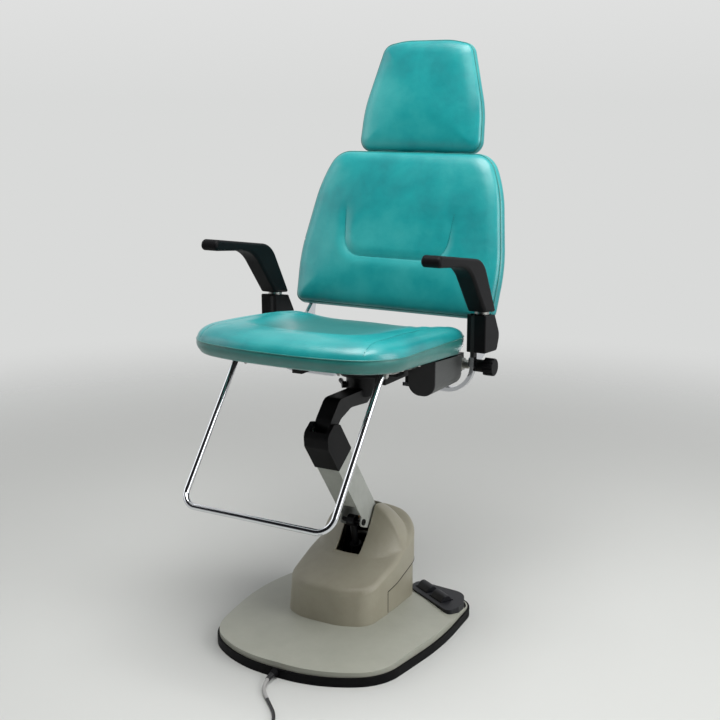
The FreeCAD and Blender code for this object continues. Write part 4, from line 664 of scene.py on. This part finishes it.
def make_pads(vinyl, strip, lining, thread):
    """Three pads with their welts and sewn lines, each in the place of its CAD node.

    The seat's cover also takes in the pan, and its boxing has the colour of the welts: a darker, greener
    teal that is partly painted shade.
    """
    kinds = [("seat", ["seat_cushion", "seat_pan"], SEAT_OUTLINE, SEAT_ORIGIN, -SEAT_TILT,
              seat_height, seat_seam, SEAT_BOXING, SEAT_UNDER, SEAT_SWELL),
             ("backrest", ["back_cushion"], BACK_OUTLINE, BACK_ORIGIN, 90 - BACK_LEAN,
              back_height, level_seam, BACK_BOXING, BACK_UNDER, BACK_SWELL),
             ("headrest", ["headrest_cushion"], HEAD_OUTLINE, HEAD_ORIGIN, 90 - HEAD_LEAN,
              head_height, level_seam, HEAD_BOXING, HEAD_UNDER, HEAD_SWELL)]
    pads = []
    for body, stands_for, outline, origin, turn, height, seam_height, boxing, under, cap in kinds:
        points, quads, free, finish, seam = pad_points(outline, height, seam_height, boxing, under)
        pad = mesh_piece(stands_for[0] + "_pad", placed(points, origin, turn), quads, vinyl)
        # the seat's boxing in the darker, greener teal: partly its own tone, partly painted shade of its
        # downward faces
        pad.data.materials.append(strip if body == "seat" else vinyl)
        pad.data.materials.append(lining)
        pad.data.polygons.foreach_set("material_index", finish.astype(np.int32))
        if body == "seat":
            # the seat alone turns greyer and darker across the sitter's hollow
            hollow_grey = pad.data.attributes.new("hollow_grey", "FLOAT", "POINT")
            hollow_greying = np.clip(2 * sitter_hollow(points[:, 0], points[:, 1]) - 1, 0, 1)
            hollow_grey.data.foreach_set("value", hollow_greying * free)
        pads.append((pad, free, cap))
        # welts in the same darker teal: painted shade along the seam's crease, which also keeps a lamp's
        # highlight off them
        welt = mesh_piece(stands_for[0] + "_welt", *swept(placed(seam, origin, turn), WELT_R), strip)
        for piece in (pad, welt):
            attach(piece, body)
        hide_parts(*stands_for)
    inflate(pads)
    for pad, _, _ in pads:
        refine(pad)
    seat_pad, back_pad = pads[0][0], pads[1][0]
    channel = rounded_path(BACK_CHANNEL, BACK_CHANNEL_R)
    press(back_pad, BACK_ORIGIN, 90 - BACK_LEAN, channel, deep=3.8, wide=13.0, cut=1.6)
    sew(back_pad, "backrest", BACK_ORIGIN, 90 - BACK_LEAN, channel, "channel_stitches", thread)
    for side, name in ((-1, "right"), (1, "left")):
        seam = rounded_path([(side * x, y) for x, y in SEAT_SEAM], SEAT_SEAM_R)
        press(seat_pad, SEAT_ORIGIN, -SEAT_TILT, seam, deep=1.0, wide=9.0, cut=1.2)
        sew(seat_pad, "seat", SEAT_ORIGIN, -SEAT_TILT, seam, "seat_stitches_" + name, thread)


def make_footrest(chrome):
    """Bent tube: down from under the pan, across as the bar and back up, in the place of the CAD loop."""
    half = np.vstack([placed(FOOT_PATH, SEAT_ORIGIN, -SEAT_TILT), [FOOT_BAR]])
    path = rounded_path(np.vstack([half, half[::-1] * (-1, 1, 1)]), FOOT_BEND, FOOT_POINTS)
    loop = mesh_piece("footrest_tube", *swept(path, FOOT_TUBE_R, sides=24, closed=False), chrome)
    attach(loop, "seat")
    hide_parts("footrest_loop")


def make_screws(zinc):
    """Studs with washers and hexagon nuts under the pan, each a stack of six-sided and round rings."""
    turn = np.arange(SCREW_SIDES) / SCREW_SIDES * 2 * math.pi
    round_edge = np.stack([np.cos(turn), np.sin(turn)], 1)
    hexagon = round_edge / np.cos(np.mod(turn, math.pi / 3) - math.pi / 6)[:, None]
    # each ring: its shape, radius and depth below the pan
    stack = [(round_edge, 0.01, 0.0), (round_edge, 8.0, 0.0), (round_edge, 8.0, 1.6),
             (round_edge, 6.0, 1.7), (hexagon, 5.0, 1.7), (hexagon, 5.0, 8.4), (round_edge, 4.4, 9.2),
             (round_edge, 3.0, 9.2), (round_edge, 3.0, 12.0), (round_edge, 0.01, 12.4)]
    one = np.vstack([np.column_stack([r * shape, np.full(SCREW_SIDES, -SEAT_UNDER[0] - depth)])
                     for shape, r, depth in stack])
    ring = np.arange(len(one)).reshape(len(stack), SCREW_SIDES)
    quads = np.vstack([strip_quads(b, a) for a, b in zip(ring, ring[1:])])
    spots = [(side * x, y) for x, y in PAN_SCREWS for side in (-1, 1)]
    points = np.vstack([one + (x, y, 0) for x, y in spots])
    faces = np.vstack([quads + i * len(one) for i in range(len(spots))])
    screws = mesh_piece("pan_screws", placed(points, SEAT_ORIGIN, -SEAT_TILT), faces, zinc)
    screws.data.polygons.foreach_set("use_smooth", np.zeros(len(faces), bool))
    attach(screws, "seat")


def make_split_shade_bead(rubber_and_split_shade):
    """Dark bead in the gap between skirt and hood, up both sides and round the rear: painted shade that
    draws the gap's shadow line.

    Its points are where level rays from outside meet the hood just above the split, or just before its
    front edge, moved into the gap. The split's height at y is its top plus its slope times the way from its
    front, and since y comes from the ray, a few rounds settle both.
    """
    hood = BVHTree.FromObject(NODES["shroud_hood"], bpy.context.evaluated_depsgraph_get())
    upright = []
    for z in np.linspace(SPLIT_FOOT, SPLIT_TOP - RAY_CLEAR, UPRIGHT_POINTS):
        start = Vector((RAY_START, SPLIT_FRONT - SPLIT_GAP, z)) * MM
        hit = hood.ray_cast(start, Vector((-1, 0, 0)))[0]
        if hit:
            upright.append((hit.x / MM - BEAD_SUNK, SPLIT_FRONT + SPLIT_GAP / 2, z))
    level = []
    first = math.atan2(SPLIT_FRONT + LEVEL_FROM - SPLIT_MIDDLE[1], upright[-1][0])
    for turn in np.linspace(first, math.pi / 2, LEVEL_POINTS):
        away = np.array([math.cos(turn), math.sin(turn)])
        y = SPLIT_MIDDLE[1] + SPLIT_REACH * away[1]
        for _ in range(LEVEL_ROUNDS):
            z = SPLIT_TOP + SPLIT_SLOPE * (y - SPLIT_FRONT)
            start = (np.array(SPLIT_MIDDLE) + RAY_START * away) * MM
            hit = hood.ray_cast(Vector((*start, (z + RAY_CLEAR) * MM)), Vector((*-away, 0)))[0]
            y = hit.y / MM
        level.append((hit.x / MM - BEAD_SUNK * away[0], y - BEAD_SUNK * away[1], z - SPLIT_GAP / 2))
    half = np.array(upright + level)
    path = np.vstack([half, half[-2::-1] * (-1, 1, 1)])
    bead = mesh_piece("hood_split_shade_bead", *swept(path, BEAD_R, sides=10, closed=False), rubber_and_split_shade)
    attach(bead, "base")


# Mains lead

def lead_points():
    """Route of the lead: the free run, a flat spiral in, a climb at the middle and a flat spiral out.

    In a layer the radius changes by one pitch in a turn; the climb takes half a turn.
    """
    outer = COIL_INNER_R + COIL_TURNS * COIL_PITCH
    turns = np.arange(0, COIL_TURNS + 1e-6, 1 / COIL_STEPS)
    inward = np.column_stack([turns, outer - COIL_PITCH * turns, np.full(len(turns), COIL_LOW)])
    climb = np.arange(1, COIL_STEPS // 2) / COIL_STEPS
    lift = (1 - np.cos(climb * 2 * math.pi)) / 2
    over = np.column_stack([COIL_TURNS + climb, COIL_INNER_R - COIL_TUCK * np.sin(climb * 2 * math.pi),
                            COIL_LOW + COIL_RISE * lift])
    back = np.arange(0, COIL_TURNS - 0.5 + 1e-6, 1 / COIL_STEPS)
    outward = np.column_stack([COIL_TURNS + 0.5 + back, COIL_INNER_R + COIL_PITCH * back,
                               np.full(len(back), COIL_LOW + COIL_RISE)])
    turn, radius, z = np.vstack([inward, over, outward]).T
    a = math.pi + turn * 2 * math.pi
    coil = np.column_stack([COIL_CENTRE[0] + radius * np.cos(a), COIL_CENTRE[1] + radius * np.sin(a), z])
    ahead = (coil[-1] - coil[-2]) / np.linalg.norm(coil[-1] - coil[-2])
    return np.vstack([LEAD_ROUTE, coil, coil[-1] + ahead * LEAD_OUT])


def spline_curve(name, points):
    """NURBS line of order 3 that has the points as its control points."""
    data = bpy.data.curves.new(name, "CURVE")
    data.dimensions = "3D"
    line = data.splines.new("NURBS")
    line.points.add(len(points) - 1)
    line.points.foreach_set("co", np.column_stack([np.asarray(points) * MM, np.ones(len(points))]).ravel())
    line.order_u = 3
    line.use_endpoint_u = True
    line.resolution_u = 6
    made = bpy.data.objects.new(name, data)
    bpy.context.scene.collection.objects.link(made)
    return made


def line_points(curve):
    """Points along a curve's own line, in millimetres, before it has a bevel."""
    flat = bpy.data.meshes.new_from_object(curve)
    places = vertex_places(flat) / MM
    bpy.data.meshes.remove(flat)
    return places


def make_lead(jacket, pale):
    """Lead with its pale sleeve and ribbed strain relief, in the place of the CAD tubes."""
    lead = spline_curve("mains_lead", lead_points())
    along = line_points(lead)
    lead.data.bevel_depth = LEAD_R * MM
    lead.data.bevel_resolution = 3
    lead.data.use_fill_caps = True
    lead.data.materials.append(jacket)
    run = np.concatenate([[0], np.cumsum(np.linalg.norm(np.diff(along, axis=0), axis=1))])
    first = along[run < SLEEVE_SHARE * run[-1]]
    sleeve = mesh_piece("lead_sleeve", *swept(first, SLEEVE_R, sides=14, closed=False), pale)
    near = along[(run > RELIEF_RUN[0]) & (run < RELIEF_RUN[1])]
    wide = np.linspace(RELIEF_R[0], RELIEF_R[1], len(near)) + RELIEF_RIB * (np.arange(len(near)) % 4 < 2)
    relief = mesh_piece("strain_relief", *swept(near, wide, sides=18, closed=False), jacket)
    for piece, slot in ((lead, "black_rubber"), (sleeve, "grey_sleeve"), (relief, "black_rubber")):
        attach(piece, "base")
    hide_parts("mains_cord", "cord_coil")
    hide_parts("cord_sleeve")


# Finishes of the CAD nodes

def dress(finishes):
    """Give each CAD node its material."""
    for material, names in finishes:
        for name in names:
            slots = NODES[name].data.materials
            slots.clear()
            slots.append(material)


# Stage

def make_floor():
    """Pale disc on rings of even share, which turns clear towards its rim."""
    turn = np.arange(FLOOR_SIDES) / FLOOR_SIDES * 2 * math.pi
    radii = np.linspace(0.001, FLOOR_FADE[1] / MM, FLOOR_RINGS)[:, None]
    level = np.zeros((FLOOR_RINGS, FLOOR_SIDES))
    points = np.stack([radii * np.cos(turn), radii * np.sin(turn), level], -1)
    ring = np.arange(FLOOR_RINGS * FLOOR_SIDES).reshape(FLOOR_RINGS, FLOOR_SIDES)
    quads = np.vstack([strip_quads(b, a) for a, b in zip(ring, ring[1:])])
    made, tree, shader, place = new_material("pale_floor", Roughness=0.8, Base_Color=linear("#CDCECB"))
    out = node(tree, "VectorMath", {0: place}, operation="LENGTH").outputs["Value"]
    fade = node(tree, "MapRange", {"Value": out, "From Min": FLOOR_FADE[0], "From Max": FLOOR_FADE[1]},
                interpolation_type="SMOOTHSTEP")
    clear = node(tree, "BsdfTransparent")
    mix = node(tree, "MixShader", {0: fade.outputs["Result"], 1: shader.outputs[0], 2: clear.outputs[0]})
    tree.links.new(mix.outputs[0], tree.nodes["Material Output"].inputs["Surface"])
    return mesh_piece("floor", points.reshape(-1, 3), quads, made)


def make_stage():
    """Camera, soft studio light and pale floor."""
    scene = bpy.context.scene
    camera = bpy.data.objects.new("camera", bpy.data.cameras.new("camera"))
    camera.data.lens = CAMERA_LENS
    camera.data.sensor_width = 36.0
    camera.location = CAMERA_PLACE
    camera.rotation_euler = (math.radians(90 - CAMERA_PITCH), 0, math.radians(CAMERA_AZIMUTH))
    scene.collection.objects.link(camera)
    scene.camera = camera
    for name, place, size, power in STUDIO_LAMPS:
        lamp = bpy.data.lights.new(name, "AREA")
        lamp.size = size
        lamp.energy = power
        lit = bpy.data.objects.new(name, lamp)
        lit.location = place
        aim = Vector(LAMP_AIM) - Vector(place)
        lit.rotation_euler = aim.to_track_quat("-Z", "Y").to_euler()
        scene.collection.objects.link(lit)
    world = bpy.data.worlds.new("studio")
    scene.world = world
    world.use_nodes = True
    tree = world.node_tree
    room = tree.nodes["Background"]
    # pale walls, with a dark side of the room in front that gives plated tube its dark core
    way = node(tree, "TexCoord").outputs["Generated"]
    ahead = node(tree, "VectorMath", {0: way, 1: DARK_SIDE}, operation="DOT_PRODUCT").outputs["Value"]
    sided = node(tree, "ValToRGB", {"Fac": ahead}, [(0.48, "#D8D9DA"), (0.70, "#1C1D1F")]).outputs["Color"]
    tree.links.new(sided, room.inputs["Color"])
    room.inputs["Strength"].default_value = ROOM_STRENGTH
    height = node(tree, "SeparateXYZ", {"Vector": way}).outputs["Z"]
    pale = node(tree, "ValToRGB", {"Fac": height}, [(0.0, "#D9DAD9"), (0.2, "#E8E8E8")]).outputs["Color"]
    path = node(tree, "LightPath").outputs
    shown = node(tree, "MixRGB", {"Fac": path["Is Glossy Ray"], "Color1": pale, "Color2": sided})
    seen = node(tree, "Background", {"Color": shown.outputs["Color"], "Strength": 1.0})
    mirrored = node(tree, "Math", {0: path["Is Glossy Ray"], 1: path["Is Transmission Ray"]},
                    operation="ADD")
    direct = node(tree, "Math", {0: mirrored.outputs["Value"], 1: path["Is Camera Ray"]}, operation="ADD",
                  use_clamp=True)
    mix = node(tree, "MixShader", {0: direct.outputs["Value"], 1: room.outputs[0], 2: seen.outputs[0]})
    tree.links.new(mix.outputs[0], tree.nodes["World Output"].inputs["Surface"])
    make_floor()
    scene.view_settings.view_transform = "Standard"


def main():
    """Stage, new pieces and the finishes of the CAD nodes."""
    make_stage()
    # extruded PVC: satin black, smudged by handling, and a pale grey sleeve of the same
    lead_black = moulded("black_pvc", "#0D0D0F", "#131315", "#1C1C1F", 0.45, 3.0)
    lead_pale = moulded("pale_grey_pvc", "#9C9B99", "#A3A2A0", "#B0AFAD", 0.45, 3.0)
    make_lead(lead_black, lead_pale)
    # leathercloth: lively teal on the faces; a darker, greener teal on the seat's boxing and the welts,
    # partly the boxing's own tone and partly painted shade of its downward faces and of the seam's crease
    vinyl = teal_vinyl("teal_vinyl", "#098387", "#119496", "#2FA2A2")
    strip = teal_vinyl("teal_vinyl_boxing_greener_shaded", "#1F706A", "#287B75", "#36877F")
    # needled felt: dead black without gloss
    lining = moulded("black_lining_felt", "#0C0C0D", "#121213", "#1A1A1B", 0.85, 1.0)
    # twisted polyester: a dark line in the teal
    thread = moulded("teal_polyester_thread", "#0A5D60", "#0F686B", "#1A7477", 0.6, 0.6)
    make_pads(vinyl, strip, lining, thread)
    # glass-filled nylon: matt black
    nylon = moulded("black_nylon", "#060608", "#0A0A0C", "#101012", 0.5, 1.4, Specular_IOR_Level=0.14)
    # self-skinned polyurethane foam: soft black with hardly a highlight
    skin = moulded("black_skin_foam", "#07070A", "#0B0B0D", "#111113", 0.5, 1.2, Specular_IOR_Level=0.12)
    # moulded ABS: blue-black with a low satin gloss
    switch = moulded("navy_abs", "#0B0C10", "#111217", "#191A20", 0.5, 1.6, Specular_IOR_Level=0.35)
    # moulded rubber: the darkest black of the base; the same black stands as painted shade in the hood's
    # split
    rubber_and_split_shade = moulded("black_rubber", "#040406", "#070709", "#0C0C10", 0.6, 2.0, Specular_IOR_Level=0.12)
    # thick ABS mouldings with an eggshell gloss: the shroud yellowed a little, the base cover greyer
    housing = moulded("beige_abs", "#97927F", "#9E9987", "#A4A08E", 0.44, 1.6)
    cover = moulded("grey_beige_abs", "#9D9E92", "#A3A498", "#A9AA9E", 0.44, 1.6)
    # enamel: dull black on castings and frame, pale grey under a thin clear gloss on the lift arm
    enamel = painted("black_enamel", "#08080A", "#0C0C0E", "#131315", 0.42, Specular_IOR_Level=0.22)
    grey = painted("light_grey_enamel", "#9DA09A", "#A6A9A3", "#ADB0AA", 0.4, Coat_Weight=0.15)
    # chrome plate is a clear mirror, zinc plate a blurred grey one
    chrome = metal("bright_chrome", "#D8DADD", 0.09, 14)
    zinc = metal("zinc_steel", "#A8A8A4", 0.36, 2.5)
    # sintered bronze: dull gold
    bronze = metal("bearing_bronze", "#A8834A", 0.4, 3)
    make_screws(zinc)
    # bead in the hood's split: painted shadow line of the gap
    make_split_shade_bead(rubber_and_split_shade)
    make_footrest(chrome)
    dress([
        (skin, ["armrest_left", "armrest_right"]),
        (capped_box(RECLINE_CAP_Y), ["recline_box"]),
        (nylon, ["arm_post_left", "arm_post_right", "recline_knob", "knuckle_cap", "back_panel",
                 "headrest_panel", "headrest_guides", "actuator_motor", "mains_plug", "cord_tie"]),
        (switch, ["foot_switch_panel", "pedal_up", "pedal_down"]),
        (cover, ["base_cover"]),
        (housing, ["shroud_skirt", "shroud_hood"]),
        (rubber_and_split_shade, ["base_edge_trim", "cord_gland"]),
        (grey, ["lift_arm"]),
        (enamel, ["gooseneck", "pivot_bracket", "actuator_foot_bracket", "seat_frame", "swivel_spindle",
                  "recline_brackets", "arm_bar_brackets", "headrest_posts", "swivel_lock_lever",
                  "actuator_tube", "actuator_ram", "ram_pin"]),
        (chrome, ["back_bar_left", "back_bar_right"]),
        (sleeved_bar(ARM_SLEEVE_FROM), ["arm_bar_left", "arm_bar_right"]),
        (zinc, ["base_plate", "main_pivot_shaft", "linkage_pins", "knuckle_pin", "levelling_rod",
                "levelling_pin_upper", "recline_shaft", "clamp_bolts", "footrest_clamps",
                "arm_spindle_left", "arm_spindle_right", "pedal_pins"]),
        (bronze, ["arm_bushes", "thrust_washer"]),
    ])


main()
